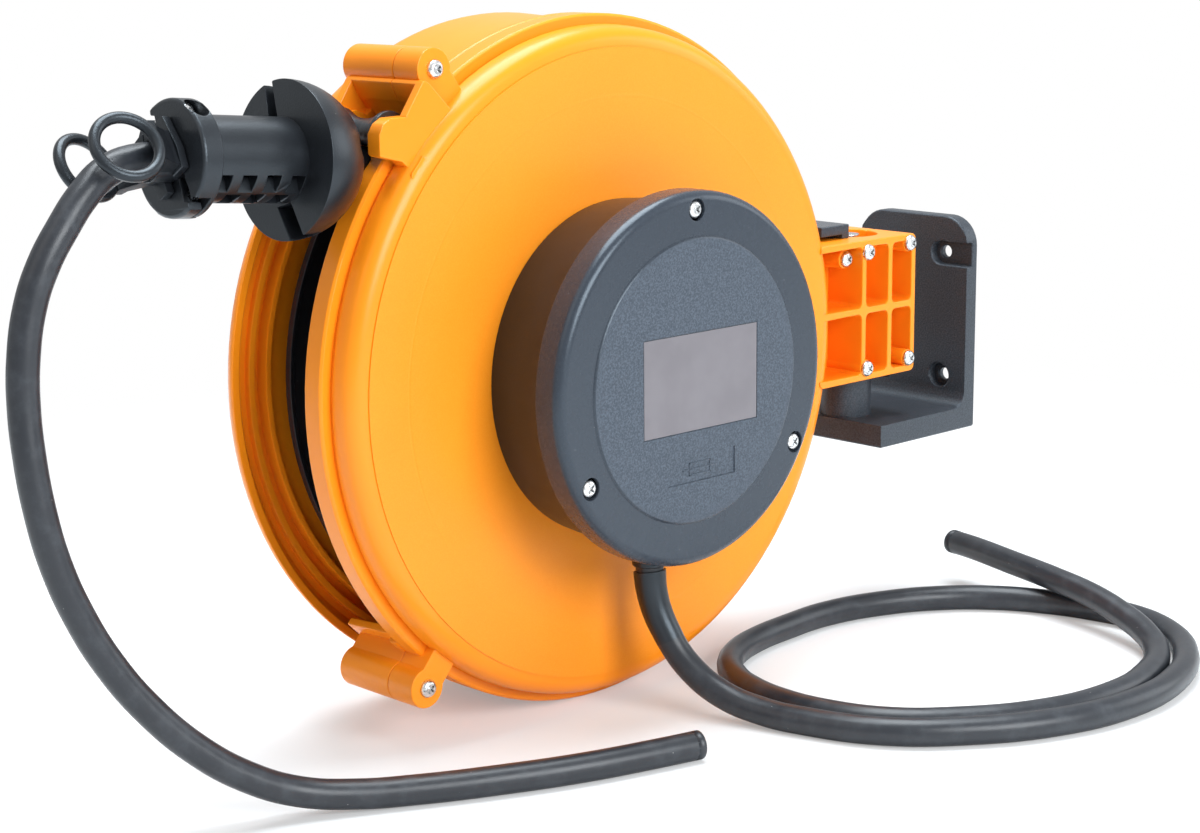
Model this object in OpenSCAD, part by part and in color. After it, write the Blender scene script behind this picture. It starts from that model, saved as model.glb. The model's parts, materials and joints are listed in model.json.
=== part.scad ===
// Spring-return cable reel with a swivelling wall bracket.
// Reel axis along Y, front (collector cover) towards -Y, wall bracket towards +X, +Z up.
// Lengths in millimetres. Modules are written about the reel's axis, with the front face at y = 0,
// and placed() sets them on the base.

/* [Casing] */
// Radius of the casing at its front face
face_r = 150; // [148:1:156]
// How far the joint bead stands proud of the face radius
bead_proud = 5; // [4:0.5:6]
// Width of the plain band around the textured disc on the front face
face_band = 9; // [9:1:30]
// Height of the textured disc over the band around it
face_disc_step = 0.6; // [0.3:0.1:1]
// Wall of both shells
shell_wall = 3; // [2.5:0.25:3.5]
// Depth of the front shell, from its face to the joint
front_depth = 25; // [24:0.5:26]
// Depth of the rear shell, from the joint to its back
rear_depth = 62; // [60:1:70]
// Radius of the rounded front corner
front_corner_r = 8; // [6:0.5:9]
// Radius of the rounded rear corner
rear_corner_r = 12; // [10:0.5:13]
// Distance from the face radius out to the middle of a screw boss
boss_reach = 15.5; // [13:0.5:18]
// Outer radius of a screw boss
boss_r = 9; // [8:0.5:10]
// Length of a screw boss behind the joint
boss_back = 33; // [24:1:34]
// Angle of the upper screw boss from +X
upper_boss_angle = 125; // [122:0.5:126]
// Angle of the lower screw boss from +X
lower_boss_angle = 230; // [230:0.5:236]

/* [Side window] */
// Angle where the window ends, above the lower boss
window_end = 225; // [200:1:226]
// Length of the window along the reel's axis
window_depth = 51; // [50:0.5:52]
// How far the window's rear corner reaches past its end, in degrees
window_tail = 7; // [3:1:9]

/* [Collector] */
// Radius of the housing where it meets the casing
housing_r = 75; // [72:1:78]
// Radius of the housing under the cover
housing_top_r = 78.5; // [77:0.5:80]
// Height of the housing, from the casing to the cover's back edge
housing_h = 39; // [38:1:50]
// Wall of the housing and of the cover
housing_wall = 2.5; // [2:0.25:3]
// Radius of the cover
cover_r = 82; // [81:0.5:86]
// Height of the cover, from its back edge to its outer ring
cover_h = 10.4; // [9.6:0.2:14]
// Radius of the raised disc in the middle of the cover
cover_disc_r = 62; // [50:1:66]
// Height of the raised disc
cover_disc_h = 0.8; // [0.4:0.1:1.2]
// Radius from the axis to the cover's screws
cover_screw_pitch_r = 74; // [72:0.5:74.5]
// Width of the label recess
label_w = 71; // [40:1:76]
// Height of the label recess
label_h = 43; // [20:1:46]
// Depth of the label recess
label_depth = 0.6; // [0.5:0.1:1]

/* [Arm] */
// Distance from the face radius out to the end of the arm
arm_reach = 62; // [60:1:68]
// Height of the arm
arm_h = 70; // [66:1:76]
// Height of the arm's middle over the reel's axis
arm_mid_z = 4.5; // [2:0.5:7]
// Thickness of the arm's ribs and outer walls
arm_rib = 3.4; // [2.6:0.2:4]
// Distance from the face radius out to the swivel pin
pivot_reach = 38; // [37:0.5:40]

/* [Wall bracket] */
// Distance from the swivel pin to the wall
pivot_to_wall = 62; // [60:1:75]
// Width of the bracket
bracket_w = 70; // [66:1:71]
// Height of the bracket
bracket_h = 109; // [104:1:130]
// Thickness of the wall plate
plate_t = 9; // [7:0.5:11]
// Thickness of the shelf
shelf_t = 11.5; // [9:0.5:14]
// Gap between the arm and the shelf
shelf_gap = 22; // [15:1:26]
// Length of the shelf past the swivel pin
shelf_nose = 14; // [12:0.5:15]
// Diameter of the swivel pin
pivot_d = 12; // [10:0.5:13]
// Diameter of the wall holes
wall_hole_d = 6; // [4:0.5:7]
// Spacing of the wall holes across
wall_hole_dy = 36; // [30:1:44]
// Spacing of the wall holes upright
wall_hole_dz = 64; // [50:1:66]
// Diameter of the counterbores round the wall holes
wall_cbore_d = 12; // [10:0.5:14]

/* [Drum] */
// Gap between the rims of the drum's flanges and the casing's wall
flange_clear = 17; // [17:1:27]
// Thickness of a flange
flange_t = 2.5; // [2:0.25:3]
// Outer radius of the drum's barrel
barrel_r = 60; // [56:1:61]
// Wall of the barrel
barrel_wall = 3.5; // [3:0.5:5]
// Radius of the axle
axle_r = 8; // [7:0.5:8.5]
// Wall of the axle's bushes
bush_wall = 3; // [2:0.5:3.5]
// Clear width between the flanges
drum_w = 52; // [52:0.25:53]
// Gap between the front shell's floor and the front flange
flange_gap = 10; // [9.5:0.25:10.5]
// Number of teeth on the ratchet ring
ratchet_teeth = 12; // [10:1:14]

/* [Cable] */
// Diameter of the cable
cable_d = 12.6; // [12:0.1:12.6]
// Radius of the wound inner layers, drawn as one plain piece
core_r = 68.1; // [67:0.1:68.5]
// Turns in the outer layer
winding_turns = 2.9; // [2:0.1:2.9]

/* [Cable mouth] */
// Waist radius of a guide roller
roller_waist_r = 5.5; // [5:0.25:6]
// End radius of a guide roller
roller_end_r = 9.5; // [8.5:0.25:9.75]
// Radius of a roller's pin
roller_pin_r = 2; // [1.5:0.25:2.5]
// Length of the upper roller
roller_w = 34; // [30:0.5:35]

/* [Cable stop] */
// Radius of the half ball
ball_r = 32.5; // [28:0.5:32.5]
// Radius of the barrel between ball and collar
stop_barrel_r = 17.3; // [16.5:0.1:19]
// Length of the barrel
stop_barrel_l = 45; // [44:1:50]
// Radius of the collar
collar_r = 23.3; // [22.5:0.1:26]
// Thickness of the collar
collar_l = 9.4; // [9:0.2:12]
// Outer radius of a pull ring
pull_ring_r = 15; // [14:0.5:16]
// Thickness of a pull ring's bar
pull_ring_bar = 4.6; // [4:0.2:5]

/* [Hidden] */
$fn = 64;
rim_r = face_r + bead_proud;
joint_y = front_depth;
back_y = front_depth + rear_depth;
cable_r = cable_d / 2;
fit_gap = 0.3; // between pieces that only stand beside each other
run_gap = 0.05; // radial clearance of running fits and of fixed pins
small_fn = 24; // screws, pins and little bosses
inner_r = face_r - shell_wall;
face_disc_r = face_r - face_band;
flange_r = inner_r - flange_clear;

// arm and bracket
arm_end = face_r + arm_reach;
pivot_x = face_r + pivot_reach;
arm_top = arm_mid_z + arm_h / 2;
arm_bottom = arm_mid_z - arm_h / 2;
arm_back_y = 2 * joint_y;
wall_x = pivot_x + pivot_to_wall;
shelf_top = arm_bottom - shelf_gap;
shelf_bottom = shelf_top - shelf_t;
plate_x = wall_x - plate_t;
pivot_r = pivot_d / 2;
pivot_tube_r = pivot_r + 4;
swivel_recess_r = 15;
swivel_recess_depth = 4;
key_x = face_r + 3;
key_l = 21;
key_w = 26;
key_h = 7;
fork_w = 15;
fork_t = 2;
neck_r = pivot_r - 1.8;
pin_head_r = pivot_r + 3;
pin_head_t = 3;

// screws
screw_d = 4;
screw_head_d = 8;
screw_head_h = 2.6;
screw_free_d = screw_d + 0.4;
screw_tight_d = screw_d + 2 * run_gap;
boss_front_y = 9;
boss_pitch_r = face_r + boss_reach;
boss_angles = [upper_boss_angle, lower_boss_angle];
arm_ribs_at = [face_r + 22, face_r + 42.1];
arm_screws_at = [[face_r + 24, arm_top - 6], [face_r + 24, arm_bottom + 6],
    [arm_end - 5.5, arm_top - 4.6], [arm_end - 5.5, arm_bottom + 7]];
deep_screw_at = [face_r + 14, arm_top - 9];
deep_screw_y = 6;
screw_bite = 13; // how far a screw of the arm reaches past the joint
arm_boss_r = 4.8;

// drum
drum_front_y = shell_wall + flange_gap;
drum_in_front = drum_front_y + flange_t;
drum_in_rear = drum_in_front + drum_w;
drum_rear_y = drum_in_rear + flange_t;
flange_lip = 0.6;
bush_r = axle_r + run_gap + bush_wall;
hub_r = bush_r + 5;
web_y = drum_in_front + 16;
web_t = 4;
hub_end_y = web_y + web_t + 12;
cup_r = barrel_r - barrel_wall;

// collector
cover_back_y = -housing_h;
cover_ring_y = cover_back_y - cover_h;
cover_face_y = cover_ring_y - cover_disc_h;
cover_screw_angles = [90, 210, 330];
label_x = 2;
hub_hole_r = 30;
gland_y = -20;
gland_seat_z = -housing_r - 3;
gland_l = 9.5;
ring_ys = [for (i = [0:2]) cover_back_y + 9 + 9 * i];
ring_w = 5;
ring_r = 26;
carrier_front_y = ring_ys[0] - 5;
brush_x = ring_r + 8;

// axle, arbor and mainspring
axle_front_y = cover_ring_y + housing_wall + 2;
axle_rear_y = back_y - shell_wall - 3;
axle_screw_d = 5;
axle_head_h = 2.6;
arbor_r = hub_r - 1;
spring_turns = 7;
spring_t = 0.8;
spring_w = 16;
spring_y = hub_end_y + 1;
spring_in_r = arbor_r + 0.5;

// winding, and the straight lead from the drum out of the mouth
wind_r = core_r + fit_gap + cable_r;
lead_r = wind_r + cable_d + fit_gap;
lead_tilt = 5;
guide_y = 30;
lead_dir = [-cos(lead_tilt), 0, sin(lead_tilt)];
lead_up = [sin(lead_tilt), 0, cos(lead_tilt)];
// point on the lead, t along it from where it leaves the drum and up across it
function on_lead(t, up = 0) = [0, guide_y, 0] + (lead_r + up) * lead_up + t * lead_dir;

// rollers and mouth
roller_off = cable_r + fit_gap + roller_waist_r;
upper_pin_c = on_lead(face_r - 25, roller_off);
lower_pin_c = on_lead(face_r - 35.5, -roller_off);
upper_pin = [upper_pin_c[0], upper_pin_c[2]];
lower_pin = [lower_pin_c[0], lower_pin_c[2]];
lower_end_r = roller_end_r - 1;
lower_w = 26;
ear_y = [5, guide_y - roller_w / 2 - 0.5];
cheek_t = 4.5;
mouth_top = upper_pin + [12, 20.5];
mouth_start = 129.5;
lip_start = 138.5;
window_start = 142;

// cable stop
stop_face_t = face_r + 15.8;
stop_end_t = stop_face_t + stop_barrel_l + collar_l;
stub_r = 9.5;
stub_l = 10.5;
split_tilt = 18;
split_gap = 0.4;
stop_screw_off = 16;
tongue_z = stop_barrel_l + 3;
tongue_outline = [[-0.5, -5], [3.2, -6.6], [4.3, -9.2], [5.5, -18.4], [8, -19], [7, -30], [-0.5, -30]];
groove_outline = [[-1, -4.3], [5.6, -4.3], [8, -9.1], [9.5, -13.6], [10.3, -17.5], [13.5, -18.5],
    [17, -30], [-1, -30]];
ring_turn = 16.6; // the finger ring's plane is turned about the lead and leans away from it
ring_lean = 10;

// ratchet and pawl
ratchet_y = drum_rear_y;
ratchet_t = 6;
ratchet_in_r = 58;
ratchet_root_r = 62;
ratchet_tip_r = 67;
pawl_angle = 45;
pawl_pivot_r = 84;
pawl_y = ratchet_y + 1.6;
pawl_t = 3.4;
pawl_reach = 32.5;
pawl_lean = 126.9;
pawl_pin_r = 2;

// the middle of the base of the object, without its free cords
base_centre = [(wall_x - rim_r) / 2, (back_y + cover_face_y) / 2, -rim_r];

// route of the feed cable, from inside the housing to its cut end
table_z = cable_r - rim_r;
feed_route = [
    [0, -20, -68], [0, -20, -80], [0, -20, -90], [0, -21, -98], [1, -24, -109], [3, -30, -121],
    [6, -40, -133], [11, -54, table_z + 6], [17, -73, table_z + 1], [22, -92, table_z],
    [36, -126, table_z], [61, -151, table_z], [98, -172, table_z], [140, -181, table_z],
    [184, -176, table_z], [222, -158, table_z], [246, -134, table_z], [257, -108, table_z],
    [256, -82, table_z], [249, -57, table_z], [237, -35, table_z], [217, -15, table_z],
    [189, 0, table_z], [156, 8, table_z], [123, 7, table_z], [99, 4, table_z], [79, -2, table_z],
    [62, -12, table_z], [48, -28, table_z], [39, -47, table_z], [35, -68, table_z],
    [37, -92, table_z], [48, -119, table_z], [69, -140, table_z], [103, -160, table_z],
    [141, -168, table_z], [180, -163, table_z], [214, -147, table_z + 1],
    [226, -133, table_z + 4], [235, -114, table_z + 7.5], [242, -92, table_z + 11],
    [248, -64, table_z + 13.5], [256, -32, table_z + 14.5], [265, 1, table_z + 15],
    [268, 16, table_z + 15]];
// route of the output cable, from the cable stop to its cut end
output_route = [
    on_lead(stop_end_t + stub_l), [-242, 27, 104], [-254, 25, 96], [-264, 24, 85], [-273, 24, 72],
    [-279, 25, 57], [-283, 25, 38], [-284, 25, 20], [-284, 23, 1], [-282, 21, -20],
    [-278, 19, -40], [-271, 16, -61], [-261, 12, -82], [-248, 6, -102], [-232, -1, -120],
    [-214, -8, -134], [-194, -15, table_z + 5], [-173, -25, table_z + 1], [-150, -37, table_z],
    [-120, -52, table_z], [-86, -66, table_z], [-52, -76, table_z], [-32, -81, table_z]];

// ---------- placing and small shapes ----------

module placed() translate(-base_centre) children();

// children drawn along Z stand along +Y from y, at p = [x, z]
module along_y(y, p = [0, 0]) translate([p[0], y, p[1]]) rotate([-90, 0, 0]) children();

// solid of revolution about the reel's axis from points [radius, y]
module revolve_y(points) along_y(0) rotate_extrude() polygon(points);

// part of a turn about the reel's axis, from angle a to angle b, measured from +X towards +Z
module sector_y(r0, r1, y0, y1, a, b) along_y(0) rotate([0, 0, -b]) rotate_extrude(angle = b - a)
    polygon([[r0, y0], [r1, y0], [r1, y1], [r0, y1]]);

module tube_y(r_out, r_in, y, l) along_y(y) difference() {
    cylinder(r = r_out, h = l);
    translate([0, 0, -1]) cylinder(r = r_in, h = l + 2);
}

function polar(r, a) = [r * cos(a), r * sin(a)];
function arc_points(c, r, a, b, n) = [for (i = [0:n]) c + polar(r, a + (b - a) * i / n)];

// outline in the XZ plane, from y to y + t
module plate_xz(y, t) translate([0, y + t, 0]) rotate([90, 0, 0]) linear_extrude(t) children();

module box_between(a, b) translate(a) cube(b - a);

module rounded_rect(a, b, r) {
    c = [[b[0] - r, b[1] - r, 0], [a[0] + r, b[1] - r, 90], [a[0] + r, a[1] + r, 180],
        [b[0] - r, a[1] + r, 270]];
    polygon([for (k = c) each arc_points([k[0], k[1]], r, k[2], k[2] + 90, 3)]);
}

// pan head with a cross recess; the head's seat is at z = 0 and the shank runs towards +Z
module pan_screw(l, d = screw_d, head_d = screw_head_d, head_h = screw_head_h) {
    difference() {
        rotate_extrude($fn = small_fn) polygon([[0, 0], [head_d / 2, 0], [head_d / 2, -head_h * 0.35],
            [head_d * 0.42, -head_h * 0.75], [head_d * 0.26, -head_h], [0, -head_h]]);
        for (a = [45, 135]) rotate([0, 0, a])
            box_between([-head_d * 0.25, -head_d * 0.06, -head_h - 1],
                [head_d * 0.25, head_d * 0.06, -head_h * 0.4]);
    }
    translate([0, 0, -0.5]) cylinder(d = d, h = l + 0.5, $fn = small_fn);
}

// ---------- swept tubes for cords and springs ----------

function unit(v) = v / norm(v);
function tangent(p, i) = unit(p[min(i + 1, len(p) - 1)] - p[max(i - 1, 0)]);
function across(v, t) = unit(v - (v * t) * t);
// one normal carried along the route, so that the rings don't twist
function carried(dirs, i, v) = i == len(dirs) ? [] :
    let (n = across(v, dirs[i])) concat([n], carried(dirs, i + 1, n));
module swept_tube(p, r, sides, start_dir = undef) {
    last = len(p) - 1;
    dirs = [for (i = [0:last]) i == 0 && start_dir != undef ? start_dir : tangent(p, i)];
    normals = carried(dirs, 0, abs(dirs[0][1]) < 0.9 ? [0, 1, 0] : [1, 0, 0]);
    points = [for (i = [0:last]) for (k = [0:sides - 1]) let (a = 360 * k / sides)
        p[i] + r * (cos(a) * normals[i] + sin(a) * cross(dirs[i], normals[i]))];
    walls = [for (i = [0:last - 1]) for (k = [0:sides - 1])
        let (a = i * sides + k, b = i * sides + (k + 1) % sides)
        each [[a, a + sides, b], [b, a + sides, b + sides]]];
    ends = [for (k = [1:sides - 2]) each [[0, k, k + 1],
        [last * sides, last * sides + k + 1, last * sides + k]]];
    polyhedron(points, concat(walls, ends));
}
// least gap between turns, skip points apart or more
function least_gap(p, skip, r) = min([for (i = [0:len(p) - 1 - skip]) for (j = [i + skip:len(p) - 1])
    norm(p[i] - p[j])]) - 2 * r;

// ---------- casing ----------

groove_y = joint_y - 12;
lip_y = groove_y + 1.2;
function front_profile() = concat(
    [[hub_hole_r, 0], [face_disc_r, 0], [face_disc_r, face_disc_step]],
    arc_points([face_r - front_corner_r, front_corner_r + face_disc_step], front_corner_r, -80, 0, 5),
    [[face_r + 0.4, groove_y - 0.8], [face_r - 0.5, groove_y], [face_r - 0.5, lip_y], [rim_r - 1, lip_y],
    [rim_r, lip_y + 1], [rim_r, joint_y - 0.8], [rim_r - 0.6, joint_y], [inner_r, joint_y],
    [inner_r, front_corner_r + 2], [inner_r - 5, shell_wall], [hub_hole_r, shell_wall]]);

function rear_profile() = concat(
    [[0, joint_y], [rim_r - 0.6, joint_y], [rim_r, joint_y + 0.8], [rim_r, joint_y + 5],
    [rim_r - 1, joint_y + 6], [face_r + 1.8, joint_y + 7]],
    arc_points([rim_r - 1 - rear_corner_r, back_y - rear_corner_r], rear_corner_r, 0, 90, 6),
    [[84, back_y], [82, back_y - 1], [46, back_y - 1], [44, back_y], [0, back_y]]);

floor_y = back_y - shell_wall;
function rear_cavity_profile() = [
    [0, joint_y - 1], [inner_r + 0.4, joint_y - 1], [inner_r + 0.4, joint_y + 3],
    [face_r + 0.6, back_y - rear_corner_r - 2], [face_r - 1, back_y - 8.5], [face_r - 4, back_y - 5.5],
    [face_r - 7, back_y - 5], [face_r - 7, back_y - 8], [face_r - 10.5, back_y - 8],
    [face_r - 10.5, floor_y], [face_r - 15, floor_y], [face_r - 15, back_y - 9.5],
    [face_r - 18, back_y - 9.5], [face_r - 18, floor_y], [0, floor_y]];

// outline of the arm, from inside the casing's wall to its rounded end
module arm_block(y, t) plate_xz(y, t) rounded_rect([inner_r - 8, arm_bottom], [arm_end, arm_top], 3);

// pockets of the arm, three columns by two rows
arm_columns = [[inner_r - 10, arm_ribs_at[0] - arm_rib / 2],
    [arm_ribs_at[0] + arm_rib / 2, arm_ribs_at[1] - arm_rib / 2],
    [arm_ribs_at[1] + arm_rib / 2, arm_end - arm_rib]];
arm_rows = [[arm_bottom + arm_rib, arm_mid_z - arm_rib / 2], [arm_mid_z + arm_rib / 2, arm_top - arm_rib]];
module arm_pockets(y, t) plate_xz(y, t) for (c = arm_columns) for (r = arm_rows)
    rounded_rect([c[0], r[0]], [c[1], r[1]], 2.5);

// tube of the swivel with the pad under its top recess, between y0 and y1
module swivel_tube(y0, y1) intersection() {
    union() {
        translate([pivot_x, joint_y, arm_bottom + 1]) cylinder(r = pivot_tube_r, h = arm_h - 2);
        translate([pivot_x, joint_y, arm_top - 8]) cylinder(r = swivel_recess_r + 1.8, h = 7);
        box_between([key_x + 10, joint_y - fork_w / 2 - 3, arm_top - 8],
            [pivot_x, joint_y + fork_w / 2 + 3, arm_top - 1]);
    }
    box_between([key_x, y0, arm_bottom], [arm_end, y1, arm_top]);
}
module swivel_cuts() {
    translate([pivot_x, joint_y, arm_bottom - 1]) cylinder(r = pivot_r + run_gap, h = arm_h + 2);
    translate([pivot_x, joint_y, arm_top - swivel_recess_depth]) cylinder(r = swivel_recess_r, h = 10);
    box_between([key_x + 14, joint_y - fork_w / 2 - fit_gap, arm_top - swivel_recess_depth],
        [pivot_x, joint_y + fork_w / 2 + fit_gap, arm_top + 1]);
}

module boss(a, y, l) {
    along_y(y, polar(boss_pitch_r, a)) cylinder(r = boss_r, h = l, $fn = 40);
    plate_xz(y, l) polygon([polar(face_r - 1, a - 2.7), polar(face_r - 1, a + 2.7),
        polar(boss_pitch_r, a + 2.4), polar(boss_pitch_r, a - 2.4)]);
}

// ear that holds the upper roller's pin
module ear_outline() polygon([
    upper_pin + [11, 7.5], upper_pin + [-6, 7.2], upper_pin + [-10, 5], upper_pin + [-12, 1],
    upper_pin + [-12, -8], polar(face_r + 3, 139.5), polar(inner_r + 1, 139.5),
    polar(inner_r + 1, 130)]);
// side of the mouth's frame, from the ear up to the bar
module cheek_outline() polygon([
    upper_pin + [2, 7.5], mouth_top + [-1.4, -0.6], mouth_top + [-0.4, 0.6], mouth_top + [1, 0.9],
    mouth_top + [6, -4], polar(inner_r + 1, 127.5), polar(inner_r + 1, 132), upper_pin + [8, 0]]);
// bar across the top of the mouth
module bar_outline() polygon([
    mouth_top + [-1.4, -0.6], mouth_top + [-0.4, 0.6], mouth_top + [1, 0.9], mouth_top + [3.2, -0.4],
    polar(inner_r + 1, 126.8), polar(inner_r + 1, mouth_start), polar(face_r + 2, mouth_start),
    mouth_top + [2.5, -8]]);
// holder of the lower roller's pin, out to radius r
module lower_ear(y, t, r) plate_xz(y, t) polygon(concat(arc_points(lower_pin, 5, 180, 400, 8),
    [polar(r, 136.5), polar(r, 140.5)]));

module front_shell() color([1, 0.57, 0.13]) difference() {
    union() {
        difference() {
            union() {
                revolve_y(front_profile());
                for (a = boss_angles) boss(a, boss_front_y, joint_y - boss_front_y);
                difference() {
                    arm_block(0, joint_y);
                    arm_pockets(-1, joint_y - 2);
                }
                plate_xz(ear_y[0], ear_y[1] - ear_y[0]) ear_outline();
                plate_xz(ear_y[0], cheek_t) cheek_outline();
                plate_xz(ear_y[0], joint_y - ear_y[0]) bar_outline();
            }
            along_y(front_corner_r + 2) cylinder(r = inner_r, h = joint_y);
            along_y(shell_wall) cylinder(r = inner_r - 5, h = joint_y);
            sector_y(inner_r - 6, rim_r + 1, ear_y[1], joint_y + 1, mouth_start, lip_start);
            along_y(ear_y[1], upper_pin) cylinder(r = roller_end_r + 0.6, h = joint_y);
        }
        swivel_tube(1.5, joint_y);
        along_y(deep_screw_y, deep_screw_at)
            cylinder(r = arm_boss_r, h = joint_y - deep_screw_y, $fn = small_fn);
        for (p = arm_screws_at) along_y(0, p) cylinder(r = arm_boss_r - 0.4, h = joint_y, $fn = small_fn);
        lower_ear(shell_wall - 1, guide_y - lower_w / 2 - 0.5 - shell_wall + 1, inner_r + 1);
    }
    for (a = boss_angles) along_y(0, polar(boss_pitch_r, a))
        cylinder(d = screw_free_d, h = joint_y + 1, $fn = small_fn);
    for (p = concat(arm_screws_at, [deep_screw_at])) along_y(-1, p)
        cylinder(d = screw_free_d, h = joint_y + 2, $fn = small_fn);
    swivel_cuts();
    along_y(ear_y[0] + 1, upper_pin) cylinder(r = roller_pin_r + run_gap, h = joint_y, $fn = small_fn);
    along_y(ear_y[0] + 1, lower_pin) cylinder(r = roller_pin_r + run_gap, h = joint_y, $fn = small_fn);
    lead_way();
}

// room for the cable through the casing's wall
module lead_way() translate(on_lead(90)) rotate([0, -90 + lead_tilt, 0])
    cylinder(r = cable_r + 1.2, h = 60, $fn = 32);

module rear_shell() color([1, 0.57, 0.13]) difference() {
    union() {
        difference() {
            union() {
                revolve_y(rear_profile());
                for (a = boss_angles) boss(a, joint_y, boss_back);
                difference() {
                    arm_block(joint_y, joint_y);
                    arm_pockets(joint_y + 3, joint_y);
                }
                plate_xz(2 * guide_y - ear_y[1], ear_y[1] - ear_y[0]) ear_outline();
                plate_xz(2 * guide_y - ear_y[0] - cheek_t, cheek_t) cheek_outline();
                plate_xz(joint_y, 2 * guide_y - ear_y[0] - joint_y) bar_outline();
            }
            revolve_y(rear_cavity_profile());
            sector_y(inner_r - 10, rim_r + 3, joint_y - 1, 2 * guide_y - ear_y[1], mouth_start,
                window_start + 1);
            sector_y(inner_r - 10, rim_r + 3, joint_y - 1, joint_y + window_depth, window_start,
                window_end);
            window_tail_cut();
        }
        swivel_tube(joint_y, arm_back_y - 1.5);
        for (p = concat(arm_screws_at, [deep_screw_at]))
            along_y(joint_y, p) cylinder(r = arm_boss_r - 0.4, h = joint_y - 5, $fn = small_fn);
        along_y(back_y - 16) cylinder(r = axle_r + 8, h = 14);
        lower_ear(guide_y + lower_w / 2 + 0.5, 9, inner_r - 2);
        lower_ear(2 * guide_y - ear_y[1], 5, inner_r + 4);
        along_y(pawl_y + pawl_t + 0.5, pawl_pivot)
            cylinder(r = 6, h = floor_y + 1 - pawl_y - pawl_t - 0.5, $fn = small_fn);
    }
    for (a = boss_angles) along_y(joint_y - 1, polar(boss_pitch_r, a))
        cylinder(d = screw_tight_d, h = boss_back - 3, $fn = small_fn);
    for (p = concat(arm_screws_at, [deep_screw_at])) along_y(joint_y - 1, p)
        cylinder(d = screw_tight_d, h = joint_y - 8, $fn = small_fn);
    swivel_cuts();
    along_y(joint_y, upper_pin)
        cylinder(r = roller_pin_r + run_gap, h = 2 * guide_y - ear_y[0] - 1 - joint_y, $fn = small_fn);
    along_y(joint_y, lower_pin)
        cylinder(r = roller_pin_r + run_gap, h = 2 * guide_y - ear_y[0] - 6 - joint_y, $fn = small_fn);
    // socket and screw hole of the axle
    along_y(back_y - 20) cylinder(r = axle_r + run_gap, h = axle_rear_y - back_y + 20);
    along_y(back_y - 20) cylinder(d = axle_screw_d + 0.4, h = 30, $fn = small_fn);
    along_y(back_y - axle_head_h) cylinder(r = axle_screw_d + 0.7, h = 5, $fn = 32);
    along_y(pawl_y, pawl_pivot)
        cylinder(r = pawl_pin_r + run_gap, h = floor_y - 1 - pawl_y, $fn = small_fn);
}

// part of the window behind the lower boss, with a rounded end
module window_tail_cut() {
    y0 = joint_y + boss_back + 3;
    y1 = joint_y + window_depth;
    sector_y(inner_r - 10, rim_r + 3, y0, y1, window_end - 1, window_end + window_tail);
    rotate([0, -(window_end + window_tail), 0]) translate([inner_r - 10, (y0 + y1) / 2, 0])
        rotate([0, 90, 0]) cylinder(r = (y1 - y0) / 2, h = 30, $fn = 32);
}

// screws of the outer bosses and of the arm
module shell_screws() color([0.8, 0.8, 0.82]) for (a = boss_angles)
    along_y(boss_front_y, polar(boss_pitch_r, a)) pan_screw(joint_y - boss_front_y + 24);
module arm_screws() color([0.8, 0.8, 0.82]) {
    for (p = arm_screws_at) along_y(0, p) pan_screw(joint_y + screw_bite);
    along_y(deep_screw_y, deep_screw_at) pan_screw(joint_y - deep_screw_y + screw_bite);
}

// ---------- collector ----------

module collector_housing() color([0.13, 0.13, 0.14]) difference() {
    union() {
        revolve_y([[hub_hole_r, 0], [housing_r, 0], [housing_top_r, cover_back_y],
            [housing_top_r - housing_wall, cover_back_y], [housing_r - housing_wall, -housing_wall],
            [hub_hole_r, -housing_wall]]);
        intersection() {
            for (a = cover_screw_angles) along_y(cover_back_y, polar(cover_screw_pitch_r - 2, a))
                cylinder(r = 6.5, h = housing_h - 1, $fn = small_fn);
            along_y(cover_back_y) cylinder(r1 = housing_top_r - 0.5, r2 = housing_r - 0.5, h = housing_h);
        }
        translate([0, gland_y, gland_seat_z]) cylinder(r = cable_r + 3, h = 6, $fn = 40);
    }
    translate([0, gland_y, gland_seat_z - 1]) cylinder(r = cable_r + 0.2, h = 14, $fn = 40);
    for (a = cover_screw_angles) along_y(cover_back_y - 1, polar(cover_screw_pitch_r, a))
        cylinder(d = screw_tight_d, h = 12, $fn = small_fn);
}

module collector_cover() color([0.16, 0.17, 0.19]) difference() {
    union() {
        revolve_y(concat([[0, cover_face_y], [cover_disc_r, cover_face_y],
            [cover_disc_r + 0.8, cover_ring_y]],
            arc_points([cover_r - 4.5, cover_ring_y + 4.5], 4.5, -90, 0, 4),
            [[cover_r, cover_back_y + 4], [housing_top_r + 0.2, cover_back_y + 4],
            [housing_top_r + 0.2, cover_back_y], [cover_r - 7.5, cover_back_y],
            [cover_r - 7.5, cover_ring_y + housing_wall], [0, cover_ring_y + housing_wall]]));
        // boss that carries the axle's front end
        along_y(cover_ring_y + 1) cylinder(r = axle_r + 3, h = 9);
    }
    along_y(axle_front_y - 0.3) cylinder(r = axle_r + run_gap, h = 12);
    for (a = cover_screw_angles) {
        p = polar(cover_screw_pitch_r, a);
        along_y(cover_face_y - 1, p)
            cylinder(r = screw_head_d / 2 + 0.8, h = 1 + cover_disc_h + screw_head_h, $fn = 32);
        along_y(cover_face_y, p) cylinder(d = screw_free_d, h = cover_h + 4, $fn = small_fn);
    }
    box_between([label_x - label_w / 2, cover_face_y - 1, -label_h / 2],
        [label_x + label_w / 2, cover_face_y + label_depth, label_h / 2]);
    box_between([label_x - 21, cover_face_y - 1, -label_h / 2 - 22.5],
        [label_x + 21, cover_face_y + 0.5, -label_h / 2 - 10.5]);
}
module cover_screws() color([0.8, 0.8, 0.82]) for (a = cover_screw_angles)
    along_y(cover_ring_y + screw_head_h, polar(cover_screw_pitch_r, a)) pan_screw(cover_h + 5.6);
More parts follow.
